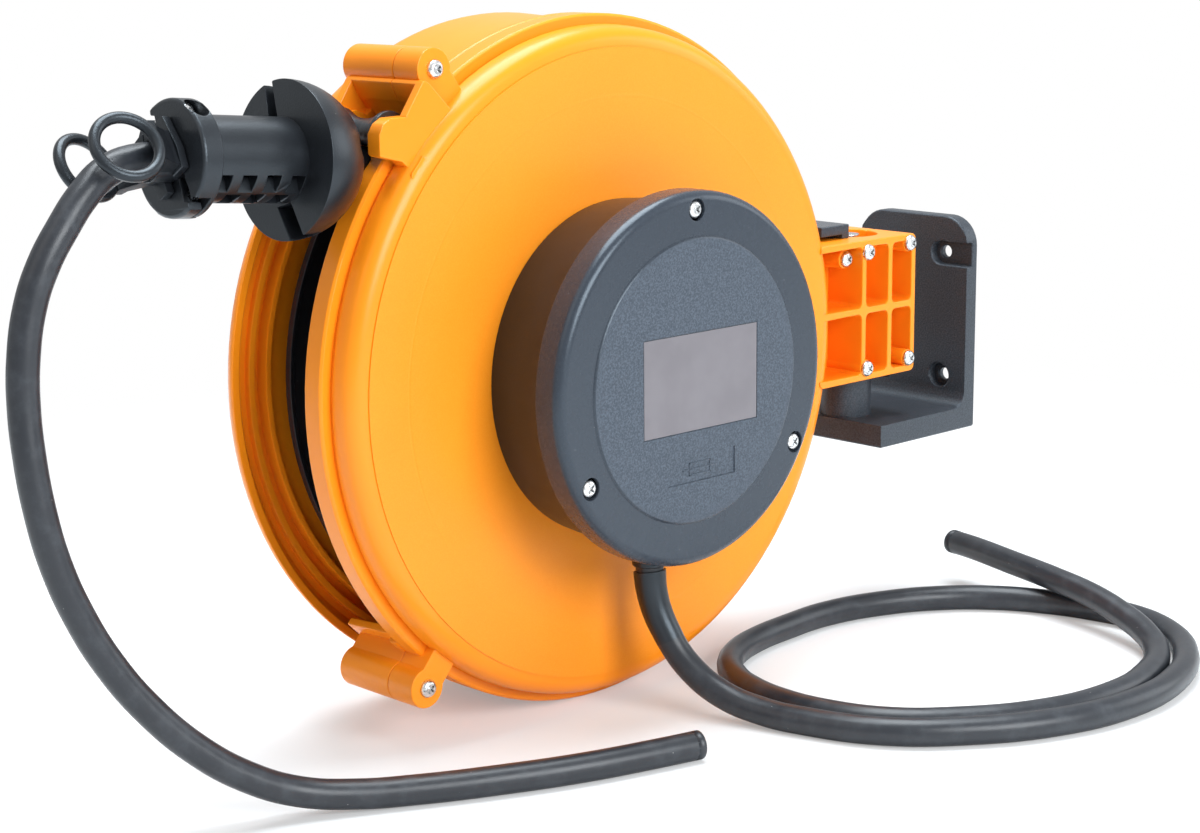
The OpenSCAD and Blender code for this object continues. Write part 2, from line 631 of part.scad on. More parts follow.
module label_plate() color([0.42, 0.38, 0.38])
    box_between([label_x - label_w / 2 + fit_gap, cover_face_y + label_depth - 0.4, -label_h / 2 + fit_gap],
        [label_x + label_w / 2 - fit_gap, cover_face_y + label_depth, label_h / 2 - fit_gap]);

module feed_gland() color([0.12, 0.12, 0.13]) translate([0, gland_y, gland_seat_z - gland_l]) difference() {
    rotate_extrude($fn = 40) polygon([[0, 0], [cable_r + 1.2, 0], [cable_r + 1.6, 0.6],
        [cable_r + 1.3, gland_l - 3], [cable_r + 2.2, gland_l - 2.4], [cable_r + 2.2, gland_l],
        [0, gland_l]]);
    translate([0, 0, -1]) cylinder(r = cable_r + run_gap, h = gland_l + 2, $fn = 40);
}

module terminal_block() color([0.85, 0.85, 0.8]) difference() {
    box_between([-58, -20, 6], [-42, -housing_wall, 36]);
    for (i = [0:2]) {
        along_y(-21, [-50, 11 + 10 * i]) cylinder(r = 2.5, h = 8, $fn = small_fn);
        translate([-59, -8, 11 + 10 * i]) rotate([0, 90, 0]) cylinder(r = 2, h = 18, $fn = small_fn);
    }
}

module ring_carrier() color([0.75, 0.72, 0.6])
    revolve_y(concat([[axle_r + 1, drum_front_y], [axle_r + 1, carrier_front_y],
        [ring_r + 2, carrier_front_y]],
    [for (y = ring_ys) each [[ring_r + 2, y], [ring_r - 3, y], [ring_r - 3, y + ring_w],
        [ring_r + 2, y + ring_w]]],
    [[ring_r + 2, -3], [ring_r - 2, -2], [ring_r - 2, drum_front_y]]));
module slip_rings() color([0.85, 0.65, 0.3]) for (y = ring_ys)
    tube_y(ring_r, ring_r - 3 + run_gap, y + 0.05, ring_w - 0.1);
module brush_holder() color([0.2, 0.2, 0.2]) difference() {
    union() {
        box_between([brush_x, carrier_front_y, -8], [brush_x + 18, -housing_wall, 8]);
        box_between([brush_x, -6, -14], [brush_x + 26, -housing_wall, 14]);
    }
    for (y = ring_ys) box_between([brush_x - 1, y + 0.2, -3.2], [brush_x + 16, y + ring_w - 0.2, 3.2]);
}
module brushes() color([0.1, 0.1, 0.1]) for (y = ring_ys)
    box_between([ring_r + fit_gap, y + 0.5, -3], [brush_x + 6, y + ring_w - 0.5, 3]);
brush_spring_path = [for (i = [0:32])
    [brush_x + 6.6 + 9.0 * i / 32, 1.5 * cos(45 * i), 1.5 * sin(45 * i)]];
module brush_springs() color([0.8, 0.8, 0.8]) for (y = ring_ys)
    translate([0, y + ring_w / 2, 0]) swept_tube(brush_spring_path, 0.3, 6);

// ---------- axle and drum ----------

module axle() color([0.7, 0.7, 0.72]) difference() {
    union() {
        along_y(axle_front_y) cylinder(r = axle_r, h = axle_rear_y - axle_front_y);
        along_y(spring_y) cylinder(r = arbor_r, h = spring_w);
    }
    along_y(axle_rear_y - 16) cylinder(d = axle_screw_d + 2 * run_gap, h = 30, $fn = small_fn);
}
module axle_screw() color([0.8, 0.8, 0.82]) translate([0, back_y - axle_head_h, 0]) rotate([90, 0, 0])
    pan_screw(16, axle_screw_d, 2 * axle_screw_d, axle_head_h - 0.2);
module front_bush() color([0.9, 0.88, 0.8]) tube_y(bush_r, axle_r + run_gap, drum_in_front, 14);
module rear_bush() color([0.9, 0.88, 0.8]) tube_y(bush_r, axle_r + run_gap, hub_end_y - 10, 10);
module drum_barrel() color([0.1, 0.1, 0.11]) difference() {
    union() {
        tube_y(barrel_r, cup_r, drum_in_front, drum_w);
        tube_y(barrel_r - 1, bush_r + run_gap, web_y, web_t);
        tube_y(hub_r, bush_r + run_gap, drum_in_front, hub_end_y - drum_in_front);
    }
    for (i = [0:5]) along_y(web_y - 1, polar(36, 60 * i + 30)) cylinder(r = 9, h = web_t + 2, $fn = 32);
}
// flange with a lip on its rim, from y to y + flange_t
module flange(y, bore_r) revolve_y([
    [bore_r, y], [flange_r - 2.5, y], [flange_r - 2, y - flange_lip], [flange_r, y - flange_lip],
    [flange_r, y + flange_t + flange_lip], [flange_r - 2, y + flange_t + flange_lip],
    [flange_r - 2.5, y + flange_t], [bore_r, y + flange_t]]);
module drum_front_flange() color([0.09, 0.09, 0.1]) flange(drum_front_y, axle_r + 1);
module drum_rear_flange() color([0.09, 0.09, 0.1]) flange(drum_in_rear, cup_r);

module cable_core() color([0.15, 0.15, 0.16])
    tube_y(core_r, barrel_r + fit_gap, drum_in_front + fit_gap, drum_w - 2 * fit_gap);

// outer layer: 24 rings in each turn, from the rear flange to the front one
wind_pitch = (drum_w - cable_d - 2 * fit_gap) / winding_turns;
wind_path = [for (i = [0:floor(24 * winding_turns)]) let (a = 90 + 15 * i)
    [wind_r * cos(a), drum_in_rear - fit_gap - cable_r - wind_pitch * i / 24, wind_r * sin(a)]];
echo(winding_gap = least_gap(wind_path, 20, cable_r));
module cable_winding() color([0.17, 0.18, 0.2]) swept_tube(wind_path, cable_r, 6);

// flat spiral spring between the arbor and the barrel's cup
function spiral(off) = [for (i = [0:16 * spring_turns]) let (u = i / 16 / spring_turns)
    polar(spring_in_r + off + (cup_r - run_gap - spring_t - spring_in_r) * u, 360 * spring_turns * u)];
module mainspring() color([0.45, 0.47, 0.5]) along_y(spring_y) linear_extrude(spring_w)
    polygon(concat(spiral(0),
    [for (i = [1:16 * spring_turns + 1]) spiral(spring_t)[16 * spring_turns + 1 - i]]));
module spring_cover() color([0.6, 0.6, 0.62]) tube_y(cup_r - run_gap, arbor_r + 1, drum_in_rear - 2, 1.5);

// ---------- ratchet ----------

tooth_a = 360 / ratchet_teeth;
module ratchet_ring() color([0.55, 0.56, 0.58]) difference() {
    plate_xz(ratchet_y, ratchet_t) polygon([for (i = [0:ratchet_teeth - 1])
        let (a = pawl_angle + 22 + tooth_a * i)
        each [polar(ratchet_root_r, a), for (k = [0:4])
            polar(ratchet_tip_r + (ratchet_root_r - ratchet_tip_r) * k / 5,
                a + tooth_a * (0.12 + 0.17 * k) * (k == 0 ? 0 : 1)),
        polar(ratchet_root_r, a + tooth_a * 0.97)]]);
    along_y(ratchet_y - 1) cylinder(r = ratchet_in_r, h = ratchet_t + 2);
}
pawl_pivot = polar(pawl_pivot_r, pawl_angle);
module pawl() color([0.6, 0.6, 0.62]) difference() {
    union() {
        along_y(pawl_y, pawl_pivot) cylinder(r = 6, h = pawl_t, $fn = 32);
        plate_xz(pawl_y, pawl_t) translate(pawl_pivot) rotate(pawl_angle + pawl_lean)
            polygon([[-1, -5.4], [3, -5.4], [pawl_reach - 1, -3.5], [pawl_reach, 0], [3, 4.6], [-1, 5]]);
    }
    along_y(pawl_y - 1, pawl_pivot) cylinder(r = pawl_pin_r + run_gap, h = pawl_t + 2, $fn = 32);
}
module pawl_pin() color([0.8, 0.8, 0.82]) {
    along_y(pawl_y - 0.5, pawl_pivot) cylinder(r = pawl_pin_r, h = floor_y - 1.5 - pawl_y, $fn = 32);
    along_y(pawl_y - 1.3, pawl_pivot) cylinder(r = 4, h = 1, $fn = 32);
}
// torsion spring on the pawl's post
pawl_spring_path = [for (i = [0:30]) [7 * cos(36 * i), 0.14 * i, 7 * sin(36 * i)]];
module pawl_spring() color([0.8, 0.8, 0.82])
    translate([pawl_pivot[0], pawl_y + pawl_t + 1.2, pawl_pivot[1]]) swept_tube(pawl_spring_path, 0.5, 6);

// ---------- cable mouth ----------

// hourglass roller about a pin at c, w long
module roller(c, w, end_r) along_y(guide_y - w / 2, [c[0], c[1]]) difference() {
    rotate_extrude($fn = 48) polygon(concat([[0, 0], [end_r, 0], [end_r, 1.5]],
        [for (i = [0:8]) let (s = (i - 4) / 4)
            [roller_waist_r + (end_r - roller_waist_r) * s * s, 2 + (w - 4) * i / 8]],
        [[end_r, w - 1.5], [end_r, w], [0, w]]));
    translate([0, 0, -1]) cylinder(r = roller_pin_r + run_gap, h = w + 2, $fn = 32);
}
module upper_roller() color([0.14, 0.14, 0.15]) roller(upper_pin, roller_w, roller_end_r);
module lower_roller() color([0.14, 0.14, 0.15]) roller(lower_pin, lower_w, lower_end_r);
module upper_roller_pin() color([0.8, 0.8, 0.82]) along_y(ear_y[0] + 1, upper_pin)
    cylinder(r = roller_pin_r, h = 2 * (guide_y - ear_y[0] - 1), $fn = 32);
module lower_roller_pin() color([0.8, 0.8, 0.82]) along_y(ear_y[0] + 6, lower_pin)
    cylinder(r = roller_pin_r, h = 2 * (guide_y - ear_y[0] - 6), $fn = 32);

// ---------- cable ----------

module cable_lead() color([0.17, 0.18, 0.2]) translate(on_lead(0)) rotate([0, -90 + lead_tilt, 0])
    cylinder(r = cable_r, h = stop_end_t + stub_l, $fn = 32);
module output_cable() color([0.17, 0.18, 0.2]) swept_tube(output_route, cable_r, 12, start_dir = lead_dir);
module feed_cable() color([0.17, 0.18, 0.2]) swept_tube(feed_route, cable_r, 12);

// ---------- cable stop ----------

// local frame: z along the lead from the half ball's flat face, away from the casing;
// x is the normal of the split, towards the front and up
module at_stop() translate(on_lead(stop_face_t)) rotate([0, -90 + lead_tilt, 0])
    rotate([0, 0, split_tilt - 90]) children();

// half ball, barrel and collar
module stop_blank() {
    rotate_extrude() polygon(concat([[0, 0]], arc_points([0, 0], ball_r, -90, 0, 20)));
    cylinder(r = stop_barrel_r, h = stop_barrel_l + 1, $fn = 48);
    translate([0, 0, stop_barrel_l]) rotate_extrude($fn = 48)
        polygon([[0, 0], [collar_r - 0.6, 0], [collar_r, 0.6],
        [collar_r, collar_l - 1], [collar_r - 1, collar_l], [0, collar_l]]);
}
// windows beside the split in two staggered rows, and the way of a screw through the collar
module stop_cuts() {
    for (i = [0:3]) {
        z = 0.8 + 11.7 * i;
        box_between([8, -stop_barrel_r - 1, z], [14.1, -8, z + 6.4]);
        box_between([-1.9, -stop_barrel_r - 1, z + 4], [6.6, -12, min(z + 10.4, stop_barrel_l)]);
    }
    translate([0, stop_screw_off, stop_barrel_l + collar_l / 2]) rotate([0, 90, 0]) {
        translate([0, 0, -14]) cylinder(d = screw_tight_d, h = 10, $fn = small_fn);
        translate([0, 0, -9]) cylinder(d = screw_free_d, h = 20, $fn = small_fn);
        translate([0, 0, 8]) cylinder(d = screw_head_d + 0.8, h = 30, $fn = small_fn);
    }
}
// half on the +X side, or turned; in the collar each half has a tongue that lies in the other's groove
module stop_half(turn) difference() {
    intersection() {
        stop_blank();
        rotate([0, 0, turn]) union() {
            translate([split_gap / 2, -60, -60]) cube([60, 120, 140]);
            rotate([0, 0, 180]) translate([0, 0, tongue_z]) linear_extrude(collar_l)
                polygon(tongue_outline);
        }
    }
    rotate([0, 0, turn]) translate([0, 0, tongue_z - split_gap]) linear_extrude(collar_l)
        polygon(groove_outline);
    translate([0, 0, -ball_r - 1]) cylinder(r = cable_r + run_gap, h = ball_r + 2, $fn = 32);
    translate([0, 0, -12]) cylinder(r = 12, h = stop_barrel_l + 6, $fn = 32);
    cylinder(r = stub_r + run_gap, h = stop_barrel_l + collar_l + 1, $fn = 32);
    for (a = [0, 180]) rotate([0, 0, a]) stop_cuts();
}
// slots across the half ball's rim, seen from the collar
slot_r = stop_barrel_r + 0.2;
top_slot = [[-5, slot_r], [0.8, slot_r], [0.8, 34], [-4, 34]];
low_slot = [[-8.3, -slot_r], [0.8, -slot_r], [6, -34], [-2.1, -34]];
module ball_slots() {
    translate([0, 0, -9]) linear_extrude(10) polygon(top_slot);
    translate([0, 0, -9]) linear_extrude(10) polygon(low_slot);
}
module stopper_front_half() color([0.15, 0.15, 0.16]) at_stop() difference() {
    stop_half(0);
    ball_slots();
    // driver's access in the half ball
    translate([0, 0, -24]) rotate([0, 90, 0]) cylinder(d = 9, h = 60, $fn = small_fn);
}
module stopper_rear_half() color([0.15, 0.15, 0.16]) at_stop() difference() {
    stop_half(180);
    ball_slots();
}
module stopper_screws() color([0.8, 0.8, 0.82]) at_stop() for (a = [0, 180]) rotate([0, 0, a])
    translate([8, stop_screw_off, stop_barrel_l + collar_l / 2]) rotate([0, -90, 0]) pan_screw(21);

// half sleeve in the collar, a neck with a raised edge that flares outwards, and the finger ring
ring_mid_r = pull_ring_r - pull_ring_bar / 2;
neck_z = stop_barrel_l + collar_l + fit_gap;
ring_c = [cable_r + 8.1, 0.4, neck_z + 27.7];
neck_root = [[3, -10], [10.3, -10], [11.4, -1.5], [9.2, 13.4], [3, 13.4]];
neck_side = [[3, 0], [9.6, 0], [10.2, 5.5], [14.4, 12.5], [17, 14], [17, 17], [13, 17.4], [8.5, 11.5],
    [3, 9]];
module at_ring() translate(ring_c) rotate([0, 90 - ring_lean, ring_turn]) children();
module pull_ring() {
    translate([0, 0, tongue_z]) intersection() {
        difference() {
            cylinder(r = stub_r, h = collar_l - 3 + stub_l, $fn = 48);
            translate([0, 0, -1]) cylinder(r = cable_r + run_gap, h = 60, $fn = 48);
        }
        translate([split_gap / 2, -30, 0]) cube([30, 60, 60]);
    }
    difference() {
        rotate([0, 0, ring_turn]) {
            translate([0, 0, neck_z]) linear_extrude(3.4) polygon(neck_root);
            translate([0, 6.5, neck_z]) rotate([90, 0, 0]) linear_extrude(15) polygon(neck_side);
        }
        translate([0, 0, neck_z - 1]) cylinder(r = cable_r + 1, h = 20, $fn = 48);
        at_ring() cylinder(r = ring_mid_r, h = 40, center = true, $fn = 48);
    }
    at_ring() rotate_extrude($fn = 48) translate([ring_mid_r, 0]) circle(d = pull_ring_bar, $fn = 16);
}
module pull_ring_front() color([0.14, 0.14, 0.15]) at_stop() pull_ring();
module pull_ring_rear() color([0.14, 0.14, 0.15]) at_stop() rotate([0, 0, 180]) pull_ring();

// ---------- wall bracket ----------

plate_corner_r = 15;
inner_fillet_r = 8;
hole_mid_z = shelf_bottom + bracket_h / 2 + 3.5;
module wall_bracket() color([0.2, 0.21, 0.23]) difference() {
    union() {
        translate([plate_x, joint_y, 0]) rotate([90, 0, 90]) linear_extrude(plate_t) polygon(concat(
            [[-bracket_w / 2, shelf_bottom], [bracket_w / 2, shelf_bottom]],
            arc_points([bracket_w / 2 - plate_corner_r, shelf_bottom + bracket_h - plate_corner_r],
                plate_corner_r, 0, 90, 8),
            arc_points([plate_corner_r - bracket_w / 2, shelf_bottom + bracket_h - plate_corner_r],
                plate_corner_r, 90, 180, 8)));
        plate_xz(joint_y - bracket_w / 2, bracket_w) polygon(concat(
            [[wall_x, shelf_bottom], [pivot_x - shelf_nose, shelf_bottom], [pivot_x - shelf_nose, shelf_top]],
            [for (i = [0:6]) [plate_x - inner_fillet_r, shelf_top + inner_fillet_r] +
                polar(inner_fillet_r, -90 + 15 * i)],
            [[wall_x, shelf_top + inner_fillet_r]]));
        translate([pivot_x, joint_y, shelf_top - 1]) cylinder(r = pivot_r + 7, h = shelf_gap + 1 - fit_gap);
    }
    translate([pivot_x, joint_y, shelf_bottom - 1])
        cylinder(r = pivot_r + run_gap, h = shelf_gap + shelf_t + 2);
    translate([pivot_x, joint_y, shelf_bottom - 1]) cylinder(r = pin_head_r + fit_gap, h = pin_head_t + 1);
    for (dy = [-1, 1]) for (dz = [-1, 1]) {
        translate([plate_x - 1, joint_y + dy * wall_hole_dy / 2, hole_mid_z + dz * wall_hole_dz / 2]) {
            rotate([0, 90, 0]) cylinder(d = wall_hole_d, h = plate_t + 2, $fn = 32);
            rotate([0, 90, 0]) cylinder(d = wall_cbore_d, h = plate_t / 2 + 1, $fn = 32);
            // the upper counterbores run out of the plate's sides
            if (dz > 0) translate([0, dy > 0 ? 0 : -30, -wall_cbore_d / 2])
                cube([plate_t / 2 + 1, 30, wall_cbore_d]);
            // the lower ones run out through the fillet
            if (dz < 0) translate([-20, 0, 0]) rotate([0, 90, 0])
                cylinder(d = wall_cbore_d, h = 21, $fn = 32);
        }
    }
}
module pivot_pin() color([0.75, 0.75, 0.77]) translate([pivot_x, joint_y, 0]) {
    translate([0, 0, shelf_bottom]) cylinder(r = pin_head_r, h = pin_head_t);
    translate([0, 0, shelf_bottom + 1]) cylinder(r = pivot_r,
        h = arm_top - swivel_recess_depth - shelf_bottom - 1);
    translate([0, 0, arm_top - swivel_recess_depth - 1])
        cylinder(r = neck_r, h = swivel_recess_depth + 0.5);
    translate([0, 0, arm_top - swivel_recess_depth + fork_t + 2 * fit_gap]) cylinder(r = pivot_r, h = 1.2);
}
// key on the arm: its fork sits under the pin's head, so the arm can't lift off
module pivot_key() color([0.18, 0.18, 0.2]) difference() {
    union() {
        box_between([key_x, joint_y - key_w / 2, arm_top + 2],
            [key_x + key_l, joint_y + key_w / 2, arm_top + key_h]);
        box_between([key_x + key_l - 5.5, joint_y - key_w / 2, arm_top],
            [key_x + key_l, joint_y + key_w / 2, arm_top + key_h]);
        box_between([key_x + key_l - 5.5, joint_y - fork_w / 2, arm_top - swivel_recess_depth + fit_gap],
            [key_x + key_l, joint_y + fork_w / 2, arm_top + 1]);
        box_between([key_x + key_l - 5.5, joint_y - fork_w / 2, arm_top - swivel_recess_depth + fit_gap],
            [pivot_x, joint_y + fork_w / 2, arm_top - swivel_recess_depth + fit_gap + fork_t]);
    }
    translate([pivot_x, joint_y, arm_top - 10]) cylinder(r = neck_r + fit_gap, h = 20);
}

// ---------- drawing ----------

placed() front_shell();
placed() rear_shell();
placed() shell_screws();
placed() arm_screws();
placed() collector_housing();
placed() collector_cover();
placed() cover_screws();
placed() label_plate();
placed() feed_gland();
placed() feed_cable();
placed() terminal_block();
placed() brush_holder();
placed() brushes();
placed() brush_springs();
placed() ring_carrier();
placed() slip_rings();
placed() axle();
placed() axle_screw();
placed() front_bush();
placed() rear_bush();
placed() drum_barrel();
placed() drum_front_flange();
placed() drum_rear_flange();
placed() cable_core();
placed() cable_winding();
placed() mainspring();
placed() spring_cover();
placed() ratchet_ring();
placed() pawl();
placed() pawl_pin();
placed() pawl_spring();
placed() upper_roller();
placed() lower_roller();
placed() upper_roller_pin();
placed() lower_roller_pin();
placed() cable_lead();
placed() output_cable();
placed() stopper_front_half();
placed() stopper_rear_half();
placed() stopper_screws();
placed() pull_ring_front();
placed() pull_ring_rear();
placed() wall_bracket();
placed() pivot_pin();
placed() pivot_key();
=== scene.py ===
"""Looks of a spring-return cable reel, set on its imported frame. Metres, in the frame's own axes."""

import json
import math

import bmesh
import bpy
from mathutils import Matrix, Vector
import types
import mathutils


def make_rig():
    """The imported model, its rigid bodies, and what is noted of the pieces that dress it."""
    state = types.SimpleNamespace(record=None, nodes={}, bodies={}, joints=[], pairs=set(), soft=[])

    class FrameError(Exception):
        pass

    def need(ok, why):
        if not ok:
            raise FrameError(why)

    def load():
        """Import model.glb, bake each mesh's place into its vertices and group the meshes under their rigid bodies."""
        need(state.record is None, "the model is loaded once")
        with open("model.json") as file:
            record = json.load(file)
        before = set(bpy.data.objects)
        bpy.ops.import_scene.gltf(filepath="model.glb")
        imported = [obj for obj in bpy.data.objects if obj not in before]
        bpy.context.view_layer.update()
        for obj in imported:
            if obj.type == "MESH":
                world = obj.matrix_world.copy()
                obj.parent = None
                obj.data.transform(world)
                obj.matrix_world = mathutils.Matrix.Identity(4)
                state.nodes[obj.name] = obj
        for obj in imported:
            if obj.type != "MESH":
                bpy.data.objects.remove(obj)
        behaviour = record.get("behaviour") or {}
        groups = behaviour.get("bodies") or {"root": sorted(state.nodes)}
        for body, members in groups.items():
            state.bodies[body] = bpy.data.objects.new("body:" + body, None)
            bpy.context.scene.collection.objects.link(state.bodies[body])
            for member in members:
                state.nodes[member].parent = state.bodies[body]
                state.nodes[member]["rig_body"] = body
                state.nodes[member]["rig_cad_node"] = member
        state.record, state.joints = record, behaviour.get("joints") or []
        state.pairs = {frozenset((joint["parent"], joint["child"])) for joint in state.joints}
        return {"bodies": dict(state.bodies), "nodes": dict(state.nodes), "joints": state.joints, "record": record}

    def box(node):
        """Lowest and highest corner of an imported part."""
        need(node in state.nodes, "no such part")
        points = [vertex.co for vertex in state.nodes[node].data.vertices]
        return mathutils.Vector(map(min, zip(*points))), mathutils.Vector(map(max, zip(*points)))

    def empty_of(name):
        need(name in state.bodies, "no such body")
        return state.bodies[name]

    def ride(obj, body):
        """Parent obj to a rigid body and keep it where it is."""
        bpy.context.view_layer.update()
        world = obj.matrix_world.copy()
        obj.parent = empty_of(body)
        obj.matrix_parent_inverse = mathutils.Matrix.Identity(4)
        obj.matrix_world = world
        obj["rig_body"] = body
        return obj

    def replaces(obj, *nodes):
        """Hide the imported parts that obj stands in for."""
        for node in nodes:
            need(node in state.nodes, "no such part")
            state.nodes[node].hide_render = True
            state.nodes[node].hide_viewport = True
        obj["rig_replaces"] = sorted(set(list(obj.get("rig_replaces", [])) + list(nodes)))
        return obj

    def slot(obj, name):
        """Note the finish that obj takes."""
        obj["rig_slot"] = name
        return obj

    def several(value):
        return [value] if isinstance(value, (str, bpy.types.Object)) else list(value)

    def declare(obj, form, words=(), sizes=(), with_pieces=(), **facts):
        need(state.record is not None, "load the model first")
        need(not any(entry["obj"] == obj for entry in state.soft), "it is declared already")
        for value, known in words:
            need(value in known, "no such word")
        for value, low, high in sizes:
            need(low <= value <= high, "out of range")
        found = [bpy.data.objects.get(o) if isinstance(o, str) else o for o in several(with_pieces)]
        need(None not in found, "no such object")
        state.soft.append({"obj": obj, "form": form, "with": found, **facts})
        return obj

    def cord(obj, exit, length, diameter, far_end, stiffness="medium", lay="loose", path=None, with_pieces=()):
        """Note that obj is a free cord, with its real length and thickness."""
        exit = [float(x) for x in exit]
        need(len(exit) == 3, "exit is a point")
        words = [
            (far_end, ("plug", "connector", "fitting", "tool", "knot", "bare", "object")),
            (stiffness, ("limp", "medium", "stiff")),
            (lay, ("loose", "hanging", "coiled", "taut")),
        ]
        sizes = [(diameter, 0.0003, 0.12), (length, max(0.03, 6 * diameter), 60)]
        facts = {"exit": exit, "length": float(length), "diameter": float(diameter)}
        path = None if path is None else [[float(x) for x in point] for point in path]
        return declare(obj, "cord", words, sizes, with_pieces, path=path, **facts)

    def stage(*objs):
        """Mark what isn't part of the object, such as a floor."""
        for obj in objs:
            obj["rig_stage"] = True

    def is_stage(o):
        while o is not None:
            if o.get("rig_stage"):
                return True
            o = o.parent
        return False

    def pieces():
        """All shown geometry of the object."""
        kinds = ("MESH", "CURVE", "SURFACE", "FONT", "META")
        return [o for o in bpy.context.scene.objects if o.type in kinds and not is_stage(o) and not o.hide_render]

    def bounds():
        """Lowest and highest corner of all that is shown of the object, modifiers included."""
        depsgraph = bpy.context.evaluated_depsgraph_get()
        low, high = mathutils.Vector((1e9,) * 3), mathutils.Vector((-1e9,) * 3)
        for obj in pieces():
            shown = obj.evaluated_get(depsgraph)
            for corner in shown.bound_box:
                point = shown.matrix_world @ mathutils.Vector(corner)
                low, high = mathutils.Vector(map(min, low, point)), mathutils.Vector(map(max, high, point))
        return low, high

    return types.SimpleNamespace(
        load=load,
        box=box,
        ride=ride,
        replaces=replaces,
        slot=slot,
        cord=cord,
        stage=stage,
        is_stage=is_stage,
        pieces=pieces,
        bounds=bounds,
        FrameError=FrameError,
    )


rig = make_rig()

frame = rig.load()
cad_low, cad_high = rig.bounds()

MM = 0.001

# ---------- the reel's own frame ----------

axle_low, axle_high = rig.box("axle")
AXIS_X = (axle_low.x + axle_high.x) / 2
AXIS_Z = (axle_low.z + axle_high.z) / 2
FACE_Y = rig.box("front_shell")[0].y


def at(x, y, z):
    """A point given in millimetres from the reel's axis and its front face, in the frame."""
    return Vector((AXIS_X + x * MM, FACE_Y + y * MM, AXIS_Z + z * MM))


# driving sizes, in millimetres, as the solids have them
FACE_DISC_R = 141
CABLE_D = 12.6
CABLE_R = CABLE_D / 2
LEAD_TILT = math.radians(5)
LEAD_R = 87.6
GUIDE_Y = 30
STOP_FACE_T = 165.8
STOP_BARREL_L = 45
STOP_END_T = STOP_FACE_T + STOP_BARREL_L + 9.4
STUB_L = 10.5
COVER_FACE_Y = -50.2
COVER_DISC_R = 62
DRUM_FRONT_Y = 15.5
DRUM_REAR_Y = 67.5
BARREL_R = 60
CORE_R = 68.1
WIND_R = 74.7
WIND_TURNS = 2.9
TABLE_Z = CABLE_R - 155

LEAD_DIR = Vector((-math.cos(LEAD_TILT), 0, math.sin(LEAD_TILT)))
LEAD_UP = Vector((math.sin(LEAD_TILT), 0, math.cos(LEAD_TILT)))


def on_lead(t, up=0):
    """The point t along the taut cable from where it leaves the drum, in millimetres about the axis."""
    return Vector((0, GUIDE_Y, 0)) + (LEAD_R + up) * LEAD_UP + t * LEAD_DIR


# ---------- shader maths and finishes ----------


class Wire:
    """A node's output that Python maths works on."""

    def __init__(self, finish, socket):
        self.finish = finish
        self.socket = socket

    def maths(self, operation, a, b=0.0):
        return self.finish.node("ShaderNodeMath", {"operation": operation}, {0: a, 1: b})

    def __add__(self, other):
        return self.maths("ADD", self, other)

    def __sub__(self, other):
        return self.maths("SUBTRACT", self, other)

    def __rsub__(self, other):
        return self.maths("SUBTRACT", other, self)

    def __mul__(self, other):
        return self.maths("MULTIPLY", self, other)

    def __truediv__(self, other):
        return self.maths("DIVIDE", self, other)

    def __pow__(self, other):
        return self.maths("POWER", self, other)

    __radd__ = __add__
    __rmul__ = __mul__


class Finish:
    """One node tree while it is made: node() adds a node and gives its output as a Wire."""

    def __init__(self, owner):
        owner.use_nodes = True
        self.material = owner
        self.tree = owner.node_tree
        self.tree.nodes.clear()
        self.place = self.node("ShaderNodeTexCoord", out="Object")

    def node(self, kind, settings=None, sockets=None, out=0):
        made = self.tree.nodes.new(kind)
        for name, value in (settings or {}).items():
            setattr(made, name, value)
        for name, value in (sockets or {}).items():
            if isinstance(value, Wire):
                self.tree.links.new(value.socket, made.inputs[name])
            else:
                made.inputs[name].default_value = value
        return Wire(self, made.outputs[out])

    def noise(self, feature, detail=2.0, roughness=0.5, place=None):
        """Noise whose features are about this many millimetres across."""
        return self.node("ShaderNodeTexNoise", {}, {"Vector": place or self.place, "Scale": 1 / (feature * MM),
                                                    "Detail": detail, "Roughness": roughness})

    def cells(self, feature):
        """Distance to the nearest of scattered points about this many millimetres apart."""
        return self.node("ShaderNodeTexVoronoi", {}, {"Vector": self.place, "Scale": 1 / (feature * MM)})

    def specks(self, apart, size):
        """1 on the odd dust speck, size across, and 0 between them; both in millimetres."""
        return self.step(self.cells(apart), 0.6 * size / apart, 0.4 * size / apart)

    def from_point(self, point, turn=(0, 0, 0), scale=(1, 1, 1)):
        """The place counted from this point of the frame, turned and scaled."""
        moved = self.node("ShaderNodeVectorMath", {"operation": "SUBTRACT"}, {0: self.place, 1: point})
        return self.node("ShaderNodeMapping", {}, {"Vector": moved, "Rotation": turn, "Scale": scale})

    def parts(self, vector):
        made = self.tree.nodes.new("ShaderNodeSeparateXYZ")
        self.tree.links.new(vector.socket, made.inputs[0])
        return [Wire(self, out) for out in made.outputs]

    def step(self, value, low, high):
        """0 below low, 1 above high, smooth between; low may be the larger."""
        return self.node("ShaderNodeMapRange", {"interpolation_type": "SMOOTHSTEP"},
                         {"Value": value, "From Min": low, "From Max": high})

    def colour_mix(self, factor, a, b):
        """Colour a where the factor is 0 and b where it is 1."""
        # the colour sockets of a Mix node come after those of its other types
        return self.node("ShaderNodeMix", {"data_type": "RGBA"}, {0: factor, 6: a, 7: b}, out=2)

    def bump(self, height, depth, normal=None):
        """A relief of this many millimetres."""
        sockets = {"Height": height, "Distance": depth * MM, "Strength": 1.0}
        if normal:
            sockets["Normal"] = normal
        return self.node("ShaderNodeBump", {}, sockets)

    def blend(self, factor, shader_a, shader_b):
        return self.node("ShaderNodeMixShader", {}, {0: factor, 1: shader_a, 2: shader_b})

    def surface(self, sockets):
        return self.ends_in(self.node("ShaderNodeBsdfPrincipled", {}, sockets))

    def ends_in(self, shader, kind="ShaderNodeOutputMaterial"):
        output = self.tree.nodes.new(kind)
        self.tree.links.new(shader.socket, output.inputs["Surface"])
        return self.material


